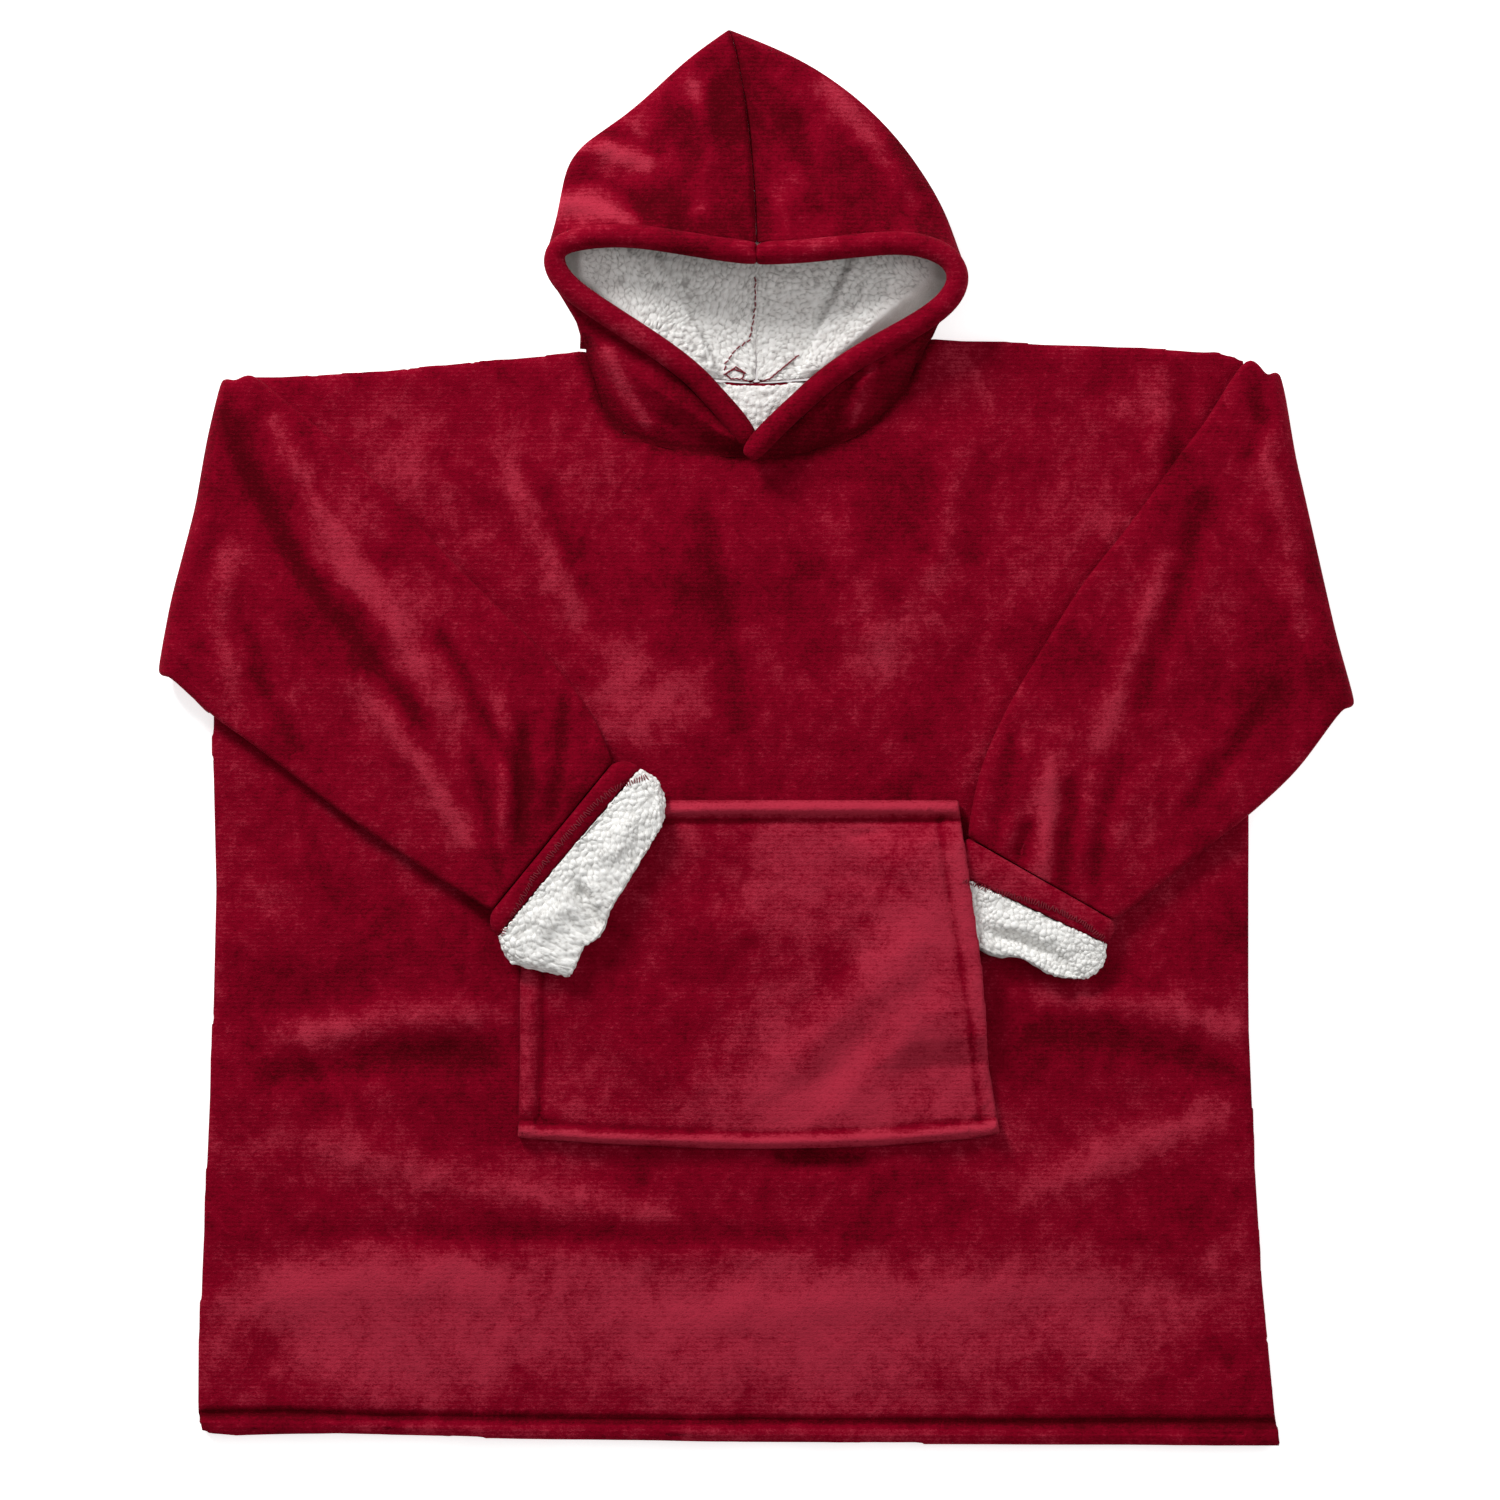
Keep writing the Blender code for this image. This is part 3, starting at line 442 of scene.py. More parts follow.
def fleece_finish(name, lift):
    finish = Finish(
        name, Sheen_Weight=0.08, Sheen_Roughness=0.4, Sheen_Tint=colour(235, 70, 100), Roughness=0.95
    )
    finish.shader.inputs["Specular IOR Level"].default_value = 0.04
    cloud = finish.noise(8.0, 4.0, 0.55, distort=0.4)
    stroke = finish.noise(1.0, 4.0, 0.6, finish.stretched((30.0, 18.0, 30.0)), 0.8)
    mottle = finish.noise(75.0, 3.0, 0.6, distort=0.5)
    flecks = finish.noise(330.0, 2.0, 0.7)
    pile = finish.noise(1100.0, 2.0, 0.75)
    # The painted value holds the nap patches plus painted shade and painted highlight along folds and
    # seams.
    nap_with_painted_shade = finish.attribute("nap_with_painted_shade") + (cloud - 0.5) * 0.7 + (stroke - 0.5) * 0.5 + lift
    share = (nap_with_painted_shade + (mottle - 0.5) * 0.45).ramp(0.06, 1.1)
    rows = finish.node(
        "ShaderNodeTexWave",
        {"wave_type": "BANDS", "bands_direction": "Y", "wave_profile": "SIN"},
        {"Vector": finish.place(), "Scale": 88.0, "Distortion": 4.0, "Detail": 2.0, "Detail Scale": 6.0},
        "Fac",
    )
    dashes = finish.noise(1.0, 2.0, 0.6, finish.stretched((260.0, 700.0, 260.0)))
    knit = (rows - 0.5) * dashes.ramp(0.42, 0.6)
    shade = share + knit * 0.34 + (flecks - 0.5) * 0.48 + (pile - 0.5) * 0.62
    dark_half = finish.mix(shade.ramp(-0.1, 0.5), DARK, MIDDLE)
    finish.feed("Base Color", finish.mix(shade.ramp(0.45, 1.05), dark_half, PALE))
    height = mottle * 0.9 + flecks * 0.5 + pile * 0.4 + knit * share * 0.15
    finish.feed("Normal", finish.bump(height, 0.0022, 0.6))
    return finish.material


fleece = fleece_finish("plush fleece", 0.0)
fleece_edge = fleece_finish("plush fleece edge", 0.06)
print("made the fleece finishes")

# %% [markdown]
# ## The sherpa
#
# Sherpa is a knit whose pile is tumbled into small curls. Every curl is a dome about 5 mm across, and
# grey cracks of painted shade run between the curls. The domes are made in the mesh. It also stores
# how deep each point lies between two curls, and the finish greys it by that as painted shade.


# %% Sherpa curls
CURL_SIZE = 5.2
CURL_HEIGHT = 2.0
CRACK_WIDTH = 1.5
CURL_SCATTER = 1.2
CURL_TALL = (0.55, 1.25)
CURL_FLOOR = 0.45
FLAT_CRACK = 0.7
INNER_STEEPNESS = 4.0


def curl(obj, height, seed, centre=None, within=None):
    """Raises a dome round every one of many scattered points, and stores the cracks between them.

    With a centre, only the side of the wall that faces it is raised, so the other side stays flat on
    its neighbour. within says which points of the piece have curls at all.
    """
    co, normal = read_points(obj)
    weight = np.ones(len(co))
    if centre is not None:
        way = np.array(centre) - co
        way /= np.linalg.norm(way, axis=1, keepdims=True)
        weight = np.clip((normal * way).sum(axis=1) * INNER_STEEPNESS, 0.0, 1.0)
    if within is not None:
        weight *= within(*co.T)
    random = np.random.default_rng(seed)
    cells = {}
    for i in random.permutation(np.flatnonzero(weight > 0.0)):
        cells.setdefault(tuple(np.floor(co[i] / CURL_SIZE).astype(int)), i)
    chosen = sorted(cells.values())
    tree = mathutils.kdtree.KDTree(len(chosen))
    for k, i in enumerate(chosen):
        tree.insert(co[i] + random.uniform(-CURL_SCATTER, CURL_SCATTER, 3), k)
    tree.balance()
    tall = random.uniform(*CURL_TALL, len(chosen))
    dome = np.zeros(len(co))
    crack = np.full(len(co), FLAT_CRACK)
    for i in np.flatnonzero(weight > 0.0):
        (_, first, near), (_, _, next_near) = tree.find_n(co[i], 2)
        open_part = min((next_near - near) / CRACK_WIDTH, 1.0)
        round_top = tall[first] * (1.0 - (near / CURL_SIZE) ** 2)
        dome[i] = round_top * (CURL_FLOOR + (1.0 - CURL_FLOOR) * open_part) - CURL_FLOOR
        crack[i] = open_part
    write_points(obj, co + normal * (height * weight * dome)[:, None])
    # How open each point is between the curls; the finish paints shade into the cracks where it is low.
    store = obj.data.attributes.new("crack", "FLOAT", "POINT")
    store.data.foreach_set("value", crack)


# %% Sherpa finish
# The darkest colour serves as painted shade in the cracks between curls and as the darker random tone.
SHERPA_DEEP = colour(176, 172, 170)
SHERPA_MIDDLE = colour(228, 226, 222)
SHERPA_TIP = colour(248, 247, 244)


def sherpa_finish(name, shade_by):
    finish = Finish(name, Roughness=0.95)
    finish.shader.inputs["Specular IOR Level"].default_value = 0.06
    patch = finish.noise(110.0, 2.0, 0.5)
    curls = finish.noise(430.0, 3.0, 0.6, distort=2.0)
    wool = finish.noise(1300.0, 2.0, 0.7)
    # Painted shade: greyer in the cracks between the curls, and greyer all over by shade_by.
    open_part = finish.attribute("crack")
    lit = open_part * 0.62 + patch * 0.42 + (curls - 0.5) * 0.45 + (wool - 0.5) * 0.2 - shade_by
    lower = finish.mix(lit.ramp(0.05, 0.42), SHERPA_DEEP, SHERPA_MIDDLE)
    finish.feed("Base Color", finish.mix(lit.ramp(0.35, 0.75), lower, SHERPA_TIP))
    finish.feed("Normal", finish.bump(curls * 0.9 + wool * 0.35, 0.0016, 0.7))
    return finish.material


sherpa = sherpa_finish("sherpa", 0.0)
sherpa_shaded = sherpa_finish("sherpa inside the hood", 0.10)
print("made the sherpa finishes")

# %% [markdown]
# ## Where the nap is pale
#
# Each row is one patch of the nap: its middle, half length, half width, the turn of its length from
# the X axis, and how much paler (or darker, below zero) it is. The patches are listed one by one, as
# the last strokes over the cloth left them.

# %% Nap patches
PATCH_STRENGTH = 0.85
NAP_COLUMNS = ("x", "y", "half_length", "half_width", "turn", "pale")
FRONT_NAP = [
    (-60, -490, 420, 84, 0, 0.34),
    (-330, -470, 120, 60, -10, 0.16),
    (180, -500, 190, 60, 4, 0.12),
    (330, -520, 110, 40, 0, -0.14),
    (-50, -400, 400, 30, 2, -0.14),
    (260, -330, 150, 70, 12, 0.06),
    (-330, -300, 110, 80, 30, -0.12),
    (300, -240, 90, 60, 40, -0.16),
    (-100, 30, 110, 34, 20, 0.22),
    (90, 60, 120, 30, 35, 0.16),
    (210, 120, 110, 30, 40, 0.10),
    (-250, 240, 120, 45, -8, 0.14),
    (-120, 200, 60, 40, 50, 0.12),
    (250, 270, 130, 30, -4, 0.08),
    (60, 140, 90, 34, 60, -0.20),
    (-60, 130, 70, 50, 80, -0.14),
    (0, -60, 130, 40, 0, -0.12),
    (120, -60, 70, 26, 70, -0.16),
]
POCKET_NAP = [
    (120, -190, 110, 40, 55, 0.34),
    (60, -280, 130, 30, 15, 0.26),
    (-60, -160, 110, 60, 10, -0.10),
    (20, -120, 90, 30, 30, 0.10),
    (-120, -270, 60, 60, 60, -0.08),
    (110, -300, 80, 20, 5, 0.16),
]
SLEEVE_NAP = [
    (-385, 60, 80, 36, 55, 0.16),
    (-330, 150, 150, 30, -52, 0.18),
    (-250, -10, 110, 36, -60, 0.26),
    (-400, 200, 110, 40, -80, -0.10),
    (-440, -10, 60, 30, 60, 0.12),
    (-215, -40, 60, 20, -70, -0.16),
    (-300, 40, 90, 20, -55, -0.18),
    (330, 100, 150, 40, 60, 0.16),
    (400, 220, 90, 36, 80, 0.10),
    (300, -50, 100, 30, 60, 0.12),
    (430, 60, 90, 30, 70, -0.10),
    (240, -60, 60, 18, 75, 0.22),
]
HOOD_NAP = [
    (-90, 520, 90, 22, 52, 0.36),
    (-120, 450, 70, 26, 10, 0.24),
    (-60, 460, 60, 26, 70, -0.30),
    (-30, 530, 60, 20, 75, -0.24),
    (70, 500, 90, 30, -55, 0.16),
    (30, 450, 50, 26, 80, 0.34),
    (120, 440, 60, 26, -30, -0.24),
    (-90, 290, 60, 22, -60, 0.16),
    (100, 300, 60, 22, 60, 0.10),
]


def paint_nap_and_shade(obj, rows, base, shade_lines=()):
    """Stores the painted value of every corner point: the patches, with painted shade and painted
    highlight along the given lines.
    """
    co, _ = read_points(obj)
    x = co[:, 0]
    y = co[:, 1]
    value = np.full(x.shape, base)
    for row in rows:
        patch = dict(zip(NAP_COLUMNS, row))
        turn = math.radians(patch["turn"])
        dx = x - patch["x"] + 14.0 * wander(x, y, 70.0, 12, SEED)
        dy = y - patch["y"] + 14.0 * wander(x, y, 60.0, 12, SEED + 1)
        along = (dx * math.cos(turn) + dy * math.sin(turn)) / patch["half_length"]
        across = (dy * math.cos(turn) - dx * math.sin(turn)) / patch["half_width"]
        value += PATCH_STRENGTH * patch["pale"] * np.exp(-(along**2 + across**2) * 0.9)
    # Painted shade in creases and seam grooves, and painted highlight on ridges, along each line.
    for half_width, pale, points in shade_lines:
        away, _ = line_distance(x, y, points)
        value += pale * np.exp(-((away / half_width) ** 2))
    nap_with_painted_shade = obj.data.attributes.new("nap_with_painted_shade", "FLOAT", "POINT")
    nap_with_painted_shade.data.foreach_set("value", value)


def finish_piece(obj, node, material, with_colour=None):
    obj.data.materials.clear()
    obj.data.materials.append(material)
    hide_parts(node)
    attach(obj, "root")
    if with_colour is not None:
        paint_nap_and_shade(obj, *with_colour)
    area = sum(face.area for face in obj.data.polygons) / 2.0
    print(obj.name, len(obj.data.polygons), "faces", round(area, 4), "square metres of cloth")


# %% [markdown]
# ## Back and front panels
#
# The back lies flat on the surface and the front rests on it, so both keep their flat undersides.
# The front has broad swells where the cloth didn't settle, a soft crease across it above the hem,
# and a turned hem with a sewn groove. Both panels are lined, so the back shows its sherpa inside the
# neck.

# %% Front panel
HEM_SEAM = [(-470, -563), (-399, -562), (-308, -565), (-131, -568), (120, -570), (445, -570)]
HEM_GROOVE = 3.4
HEM_RISE = 2.2
FRONT_SWELL = 1.5
FRONT_FOLDS = [
    (9.0, -1.8, [(-381, -410), (-231, -413), (-47, -416), (86, -413)]),
    (9.0, -3.0, [(20, -350), (50, -349), (86, -352)]),
    (15.0, 3.2, [(-400, -250), (-300, -232), (-215, -230)]),
    (13.0, -2.4, [(-410, -282), (-310, -268), (-222, -262)]),
    (16.0, 2.6, [(-390, -330), (-240, -372), (-80, -392)]),
    (18.0, 2.6, [(-430, -470), (-330, -452), (-220, -444)]),
    (15.0, 2.6, [(230, -380), (310, -342), (390, -310)]),
    (13.0, 2.8, [(240, -216), (320, -222), (395, -240)]),
    (12.0, -2.4, [(236, -246), (310, -256), (390, -276)]),
    (14.0, 2.4, [(60, 190), (88, 120), (104, 52)]),
    (13.0, -2.2, [(-46, 190), (-28, 110), (-16, 20)]),
    (12.0, -2.2, [(-182, 215), (-150, 150), (-128, 95)]),
    (11.0, 2.2, [(-205, 215), (-172, 150), (-150, 100)]),
    (12.0, 2.2, [(170, 240), (160, 190), (150, 130)]),
    (15.0, 2.2, [(-80, -482), (80, -472), (280, -456)]),
    (10.0, 2.0, [(330, 300), (342, 262), (330, 224)]),
    (8.0, -2.2, [(352, 304), (356, 270), (344, 232)]),
]


def front_height(x, y):
    away, _ = line_distance(x, y, HEM_SEAM)
    seam_y = np.interp(x, [p[0] for p in HEM_SEAM], [p[1] for p in HEM_SEAM])
    groove = -HEM_GROOVE * np.exp(-((away / 3.4) ** 2))
    band = HEM_RISE * np.clip((seam_y - y) / 5.0, 0.0, 1.0)
    soft = FRONT_SWELL * wander(x, y, 110.0, 16, SEED + 2) + 0.5 * wander(x, y, 36.0, 24, SEED + 3)
    return fold_field(x, y, FRONT_FOLDS) + groove + band + soft


NECK_SEAM = [
    (-145, 323), (-133, 280), (-111, 254), (-82, 244), (-45, 238), (-12, 235), (12, 234),
    (42, 238), (72, 248), (100, 264), (122, 288), (134, 310), (144, 333),
]
NECK_CENTRE = (0.0, 310.0)
FRONT_CELL = 5.0
BODY_SMOOTHING = 8
HEM_CELL = 3.2
HEM_TOP = -546.0
HEM_FLOOR = 9.0
THROAT = ((2, 232, 9), 34, (0, 8, 0))
SHOULDER_CORNER = ((396, 302, 8), 45, (11, 3, 0))
NECK_REACH = 12.0
NECK_PRESS = 2.6

def in_hem(x, y, z):
    return (y < HEM_TOP) & (z > HEM_FLOOR)


front = even_mesh(welded_copy("body_front", "front_panel"), FRONT_CELL, BODY_SMOOTHING)
refine(front, in_hem, HEM_CELL)
slide(front, *SHOULDER_CORNER)
slide(front, *THROAT)
spread(front, NECK_SEAM, NECK_CENTRE, NECK_REACH, -NECK_PRESS)
shape_top(front, front_height)
# Painted shade in the crease troughs, the hem groove and the neck seam, and painted highlight on the fold
# ridges.
FRONT_PAINTED_SHADING = [(r[0], 0.09 * r[1], r[2]) for r in FRONT_FOLDS]
FRONT_PAINTED_SHADING += [(4.0, -0.5, HEM_SEAM), (5.0, -0.4, NECK_SEAM)]
finish_piece(front, "body_front", fleece, (FRONT_NAP, 0.53, FRONT_PAINTED_SHADING))

# %% Back panel
BACK_CELL = 5.4
NECK_CELL = 3.6
THROAT_CELL = 1.8
NECK_OPENING = (-150.0, 150.0, 228.0, 345.0)
BACK_FOLDS = [
    (12.0, 1.6, [(-300, 180), (-180, 60), (-120, -60)]),
    (14.0, 1.4, [(260, 200), (180, 40), (190, -120)]),
    (10.0, 1.8, [(-60, 240), (-30, 90), (-50, -80)]),
    (16.0, 1.5, [(-380, -340), (-160, -380), (60, -350)]),
    (12.0, 1.4, [(120, -420), (280, -460), (400, -440)]),
    (11.0, 1.5, [(60, 10), (80, -150), (40, -260)]),
]


def back_height(x, y):
    hem, _ = line_distance(x, y, HEM_SEAM)
    return 1.1 * np.maximum(fold_field(x, y, BACK_FOLDS), 0.0) + 1.6 * np.exp(-((hem / 3.4) ** 2))


def in_neck(x, y, z):
    x_low, x_high, y_low, y_high = NECK_OPENING
    return (x > x_low) & (x < x_high) & (y > y_low) & (y < y_high) & (z > 4.5)


def in_throat(x, y, z):
    return (np.abs(x) < 60.0) & (y > 226.0) & (y < 306.0) & (z > 4.5)


back = even_mesh(welded_copy("body_back", "back_panel"), BACK_CELL, BODY_SMOOTHING)
slide(back, *SHOULDER_CORNER)
refine(back, in_neck, NECK_CELL)
refine(back, in_throat, THROAT_CELL)
shape_under(back, back_height)
finish_piece(back, "body_back", fleece, (FRONT_NAP, 0.46))
back.data.materials.append(sherpa)
middles = np.array([face.center for face in back.data.polygons]) / MM
lined = in_neck(*middles.T).astype(int)
back.data.polygons.foreach_set("material_index", lined)
curl(back, CURL_HEIGHT, SEED + 4, within=in_throat)
print("the back shows", int(lined.sum()), "faces of its lining in the neck")

# %% [markdown]
# ## Pocket
#
# The pocket is one wide panel sewn to the front along its top and its bottom, where the seams stand
# up as ridges. Its sides are open for the hands, and their turned hems show as flat strips. The
# stitch lines sink into the plush a little inside each edge.

# %% Pocket
POCKET_CELL = 2.8
POCKET_SMOOTHING = 5
POCKET_EDGES = [
    (2.6, -2.6, [(152, -66), (157, -113), (167, -170), (177, -237), (186, -318)]),
    (6.0, 1.6, [(168, -66), (174, -120), (183, -190), (190, -250), (199, -322)]),
    (2.6, -2.6, [(-181, -66), (-179, -197), (-177, -253), (-181, -324)]),
    (6.0, 1.4, [(-190, -150), (-190, -240), (-192, -324)]),
    (2.8, -3.0, [(-204, -318), (-131, -325), (8, -330), (116, -325), (187, -319), (208, -314)]),
    (5.0, 3.4, [(-204, -328), (-131, -333), (8, -337), (116, -333), (187, -326), (208, -322)]),
    (2.8, -3.4, [(-190, -68), (-90, -69), (40, -68), (172, -68)]),
    (5.5, 4.2, [(-190, -59), (-90, -60), (40, -59), (172, -59)]),
]
POCKET_FOLDS = [
    (13.0, 3.2, [(3, -294), (86, -211), (150, -150)]),
    (12.0, -2.8, [(36, -306), (110, -236), (164, -190)]),
    (16.0, 2.2, [(-120, -120), (-60, -150), (20, -160)]),
    (14.0, -1.8, [(-150, -170), (-80, -200), (-10, -210)]),
    (16.0, 2.0, [(-150, -230), (-90, -270), (-20, -300)]),
    (10.0, 2.0, [(70, -90), (100, -100), (140, -104)]),
]


def edge_field(x, y, rows):
    """Height of seams and rolled edges, which keep their full height to both ends."""
    total = np.zeros(x.shape)
    for half_width, height, points in rows:
        away, _ = line_distance(x, y, points)
        total += height * np.exp(-((away / half_width) ** 2))
    return total


def pocket_height(x, y):
    soft = 1.2 * wander(x, y, 90.0, 14, SEED + 5) + 0.4 * wander(x, y, 26.0, 20, SEED + 6)
    return edge_field(x, y, POCKET_EDGES) + fold_field(x, y, POCKET_FOLDS) + soft


pocket = even_mesh(welded_copy("pocket", "pocket_panel"), POCKET_CELL, POCKET_SMOOTHING)
shape_top(pocket, pocket_height)
# Painted shade in the stitch grooves and painted highlight on the seam ridges and rolled edges.
POCKET_PAINTED_SHADING = [(r[0] * 1.1, 0.09 * r[1], r[2]) for r in POCKET_EDGES]
finish_piece(pocket, "pocket", fleece, (POCKET_NAP, 0.65, POCKET_PAINTED_SHADING))

# %% [markdown]
# ## Sleeves
#
# Each sleeve is a flattened tube folded forward across the front. Long creases run down it from the
# shoulder fold, and short ones fan out where it is gathered into the cuff.

# %% Sleeves
SLEEVE_FOLD_TABLE = [
    (8.0, -3.6, [(-442, 268), (-418, 213), (-390, 163), (-375, 135), (-348, 100), (-313, 58), (-277, 15)]),
    (9.0, 2.8, [(-400, 262), (-368, 196), (-330, 140), (-296, 96)]),
    (7.0, -3.6, [(-263, 86), (-224, 15), (-194, -40)]),
    (6.0, -3.8, [(-193, 5), (-192, -35), (-196, -83)]),
    (7.0, 3.2, [(-214, 30), (-208, -30), (-214, -90)]),
    (9.0, 2.8, [(-330, 40), (-280, -20), (-240, -84)]),
    (8.0, -2.6, [(-420, 90), (-410, 40), (-380, -10)]),
    (10.0, 2.4, [(-440, 150), (-446, 90), (-430, 30)]),
    (6.0, -2.8, [(-238, -10), (-222, -60), (-214, -112)]),
    (5.0, -2.6, [(-160, 30), (-162, -20), (-170, -66)]),
    (7.0, 2.2, [(-350, 150), (-318, 104), (-280, 60)]),
    (7.0, -3.4, [(227, -70), (222, -90), (218, -104)]),
    (7.0, -3.4, [(263, -40), (258, -80), (254, -118)]),
    (8.0, 3.0, [(244, -20), (240, -70), (238, -120)]),
    (10.0, 2.6, [(415, 250), (440, 170), (452, 90)]),
    (9.0, -2.6, [(372, 200), (346, 110), (318, 30)]),
    (9.0, 2.4, [(340, 150), (312, 70), (288, 0)]),
    (8.0, -2.6, [(430, 40), (396, -10), (360, -56)]),
    (7.0, -2.8, [(300, -20), (288, -70), (280, -120)]),
    (6.0, -2.6, [(212, 0), (204, -50), (196, -88)]),
    (7.0, -3.0, [(412, 290), (418, 262), (408, 236)]),
]


def sleeve_height(x, y):
    soft = 1.2 * wander(x, y, 80.0, 14, SEED + 7) + 0.6 * wander(x, y, 26.0, 24, SEED + 8)
    return fold_field(x, y, SLEEVE_FOLD_TABLE) + soft


SLEEVE_SHOULDER = ((424, 288, 14), 70, (3, 18, 0))
for side in ("right", "left"):
    sleeve = subdivide(welded_copy(f"sleeve_{side}", f"{side}_sleeve"), 2, hold=False)
    slide(sleeve, *SLEEVE_SHOULDER)
    shape_top(sleeve, sleeve_height)
    # Painted shade in the crease troughs and painted highlight on the fold ridges.
    painted_shading = [(r[0], 0.09 * r[1], r[2]) for r in SLEEVE_FOLD_TABLE]
    finish_piece(sleeve, f"sleeve_{side}", fleece, (SLEEVE_NAP, 0.46, painted_shading))

# %% [markdown]
# ## Cuffs
#
# The sleeve ends in a narrow fleece band, and below it the sherpa lining is turned out. The band is
# puffed out until it presses on its neighbours, so that the seams close as they do in thick cloth.
# The mouth of each cuff sinks to a hollow, and its lower lip laps over the rest.

# %% Cuffs
BAND_PUFF = 1.5
CUFF_FOLDS = {
    "right": [
        (5.0, -8.0, [(-150, -120), (-142, -135), (-132, -158)]),
        (9.0, 3.0, [(-186, -160), (-168, -150), (-156, -136)]),
        (10.0, 3.0, [(-96, -60), (-112, -84), (-128, -104)]),
        (7.0, -2.0, [(-150, -82), (-138, -98), (-130, -116)]),
    ],
    "left": [
        (4.0, -5.0, [(186, -158), (215, -167), (236, -175), (250, -178)]),
        (4.0, -4.0, [(248, -176), (256, -186), (263, -198)]),
        (8.0, 2.6, [(222, -186), (240, -192), (256, -196)]),
        (8.0, 2.4, [(200, -150), (236, -160), (268, -172)]),
    ],
}
LIP_PLACES = {
    "right": [((-134, -158, 26), 22, (4, -2, 0)), ((-146, -176, 26), 18, (-2, 5, 0))],
    "left": [((196, -180, 16), 26, (-2, -8, 0)), ((246, -194, 18), 34, (0, -7, 0))],
}

for side in ("right", "left"):
    band = subdivide(welded_copy(f"cuff_band_{side}", f"{side}_cuff_band"), 3, hold=False)
    swell(band, BAND_PUFF)
    shape_top(band, lambda x, y: 0.5 * wander(x, y, 26.0, 20, SEED + 8))
    finish_piece(band, f"cuff_band_{side}", fleece_edge, (SLEEVE_NAP, 0.50))
    cuff = subdivide(welded_copy(f"cuff_{side}", f"{side}_turned_cuff"), 4)
    folds = CUFF_FOLDS[side]
    shape_top(cuff, lambda x, y: fold_field(x, y, folds) + 0.6 * wander(x, y, 24.0, 20, SEED + 9))
    for place, reach, move in LIP_PLACES[side]:
        slide(cuff, place, reach, move)
    curl(cuff, CURL_HEIGHT, SEED + 10)
    finish_piece(cuff, f"cuff_{side}", sherpa)

# %% [markdown]
# ## Hood
#
# Two fleece panels meet in a seam over the crown, with sherpa inside. The face edge is a fat roll,
# and its left end crosses over the right one at the throat. Inside, the sides of the lining slump
# over the back wall, so a bright wedge stands on each side of a greyer middle. The lower edge of the
# hood is pressed onto the neckline, and the wall under each end of the roll is lifted to meet it.

# %% Hood
HOOD_FOLDS = [
    (2.6, -1.7, [(-23, 590), (-10, 547), (-5, 491), (-1, 435), (1, 389)]),
    (6.0, -1.5, [(-126, 504), (-98, 496), (-81, 489)]),
    (8.0, 3.0, [(-150, 492), (-120, 486), (-92, 476)]),
    (6.0, -1.5, [(-162, 465), (-132, 464), (-109, 450), (-90, 436)]),
    (8.0, 3.2, [(-172, 446), (-136, 440), (-104, 424)]),
    (7.0, -1.4, [(-143, 329), (-136, 300), (-128, 270)]),
    (7.0, 2.6, [(-124, 320), (-106, 285), (-92, 262)]),
    (6.0, -1.5, [(78, 298), (70, 276), (62, 258)]),
    (6.0, 2.4, [(94, 306), (88, 282), (80, 262)]),
    (5.0, -1.4, [(34, 262), (28, 248), (22, 238)]),
    (11.0, 2.8, [(60, 540), (100, 490), (130, 440)]),
    (9.0, -1.4, [(30, 520), (44, 470), (50, 430)]),
    (9.0, 2.6, [(-50, 540), (-40, 490), (-46, 440)]),
]
WEDGES = {
    "right": [(-96, 436), (-80, 402), (-56, 359), (-35, 319), (-26, 296)],
    "left": [(92, 430), (72, 388), (49, 340), (28, 292)],
}
WEDGE_LIP = 6.0
WEDGE_SLOPE = 0.22
WEDGE_TOP = 15.0
LIP_WIDTH = 5.0
LOW_LAYER = 14.0
NECK_END = (292.0, 14.0)
CROWN_END = (440.0, 18.0)
ROLL_END = 22.0
ROLL_LOW = 246.0
ROLL_SLOPE = 0.8
ROLL_SIDE = 166.0
OPENING_Y = (288.0, 448.0)
OPENING_Z = (2.0, 24.0)
HOOD_CAVITY = (0.0, 400.0, 22.0)
PANEL_TIPS = {
    "right": ((-11, 240, 12), 42, (20, -2, 0)),
    "left": ((8, 240, 13), 42, (-14, -4, 5)),
}
NECK_SIDES = {"right": NECK_SEAM[:6], "left": NECK_SEAM[6:12]}
NECK_SETTLE = (13.0, 10.0, 1.0)
ROLL_SEATS = {
    "right": [(-16, 244), (-102, 301), (-150, 342)],
    "left": [(16, 242), (83, 292), (146, 346)],
}
ROLL_PUFF = 0.9
ROLL_REACH = 17.0
ROLL_LIFT = 12.0
LINING_CELL = 1.9
LINING_REACH = 30.0
LINING_TUCK = 7.0
LINING_TIPS = {
    "right": ((-10, 240, 16), 44, (-9, 13, 0)),
    "left": ((8, 238, 16), 44, (9, 13, 0)),
}
ROLL_TIPS = {
    "right": ((-13, 250, 23), 50, (5, 0, -3)),
    "left": ((7, 243, 24), 55, (-10, -5, 6)),
}


def hood_height(x, y):
    soft = 1.0 * wander(x, y, 60.0, 14, SEED + 10) + 0.5 * wander(x, y, 24.0, 24, SEED + 11)
    return fold_field(x, y, HOOD_FOLDS) + np.maximum(soft, -1.0)


def inside_rolls(x, y):
    """How far a point lies inside the lines hidden under the two rolls, in millimetres."""
    return np.minimum(y - ROLL_LOW - ROLL_SLOPE * np.abs(x), ROLL_SIDE - np.abs(x))


def in_opening(x, y, z):
    """The part of the lining's back wall that shows through the face opening."""
    (y_low, y_high), (z_low, z_high) = OPENING_Y, OPENING_Z
    return (inside_rolls(x, y) > 0.0) & (y > y_low) & (y < y_high) & (z < z_high) & (z > z_low)


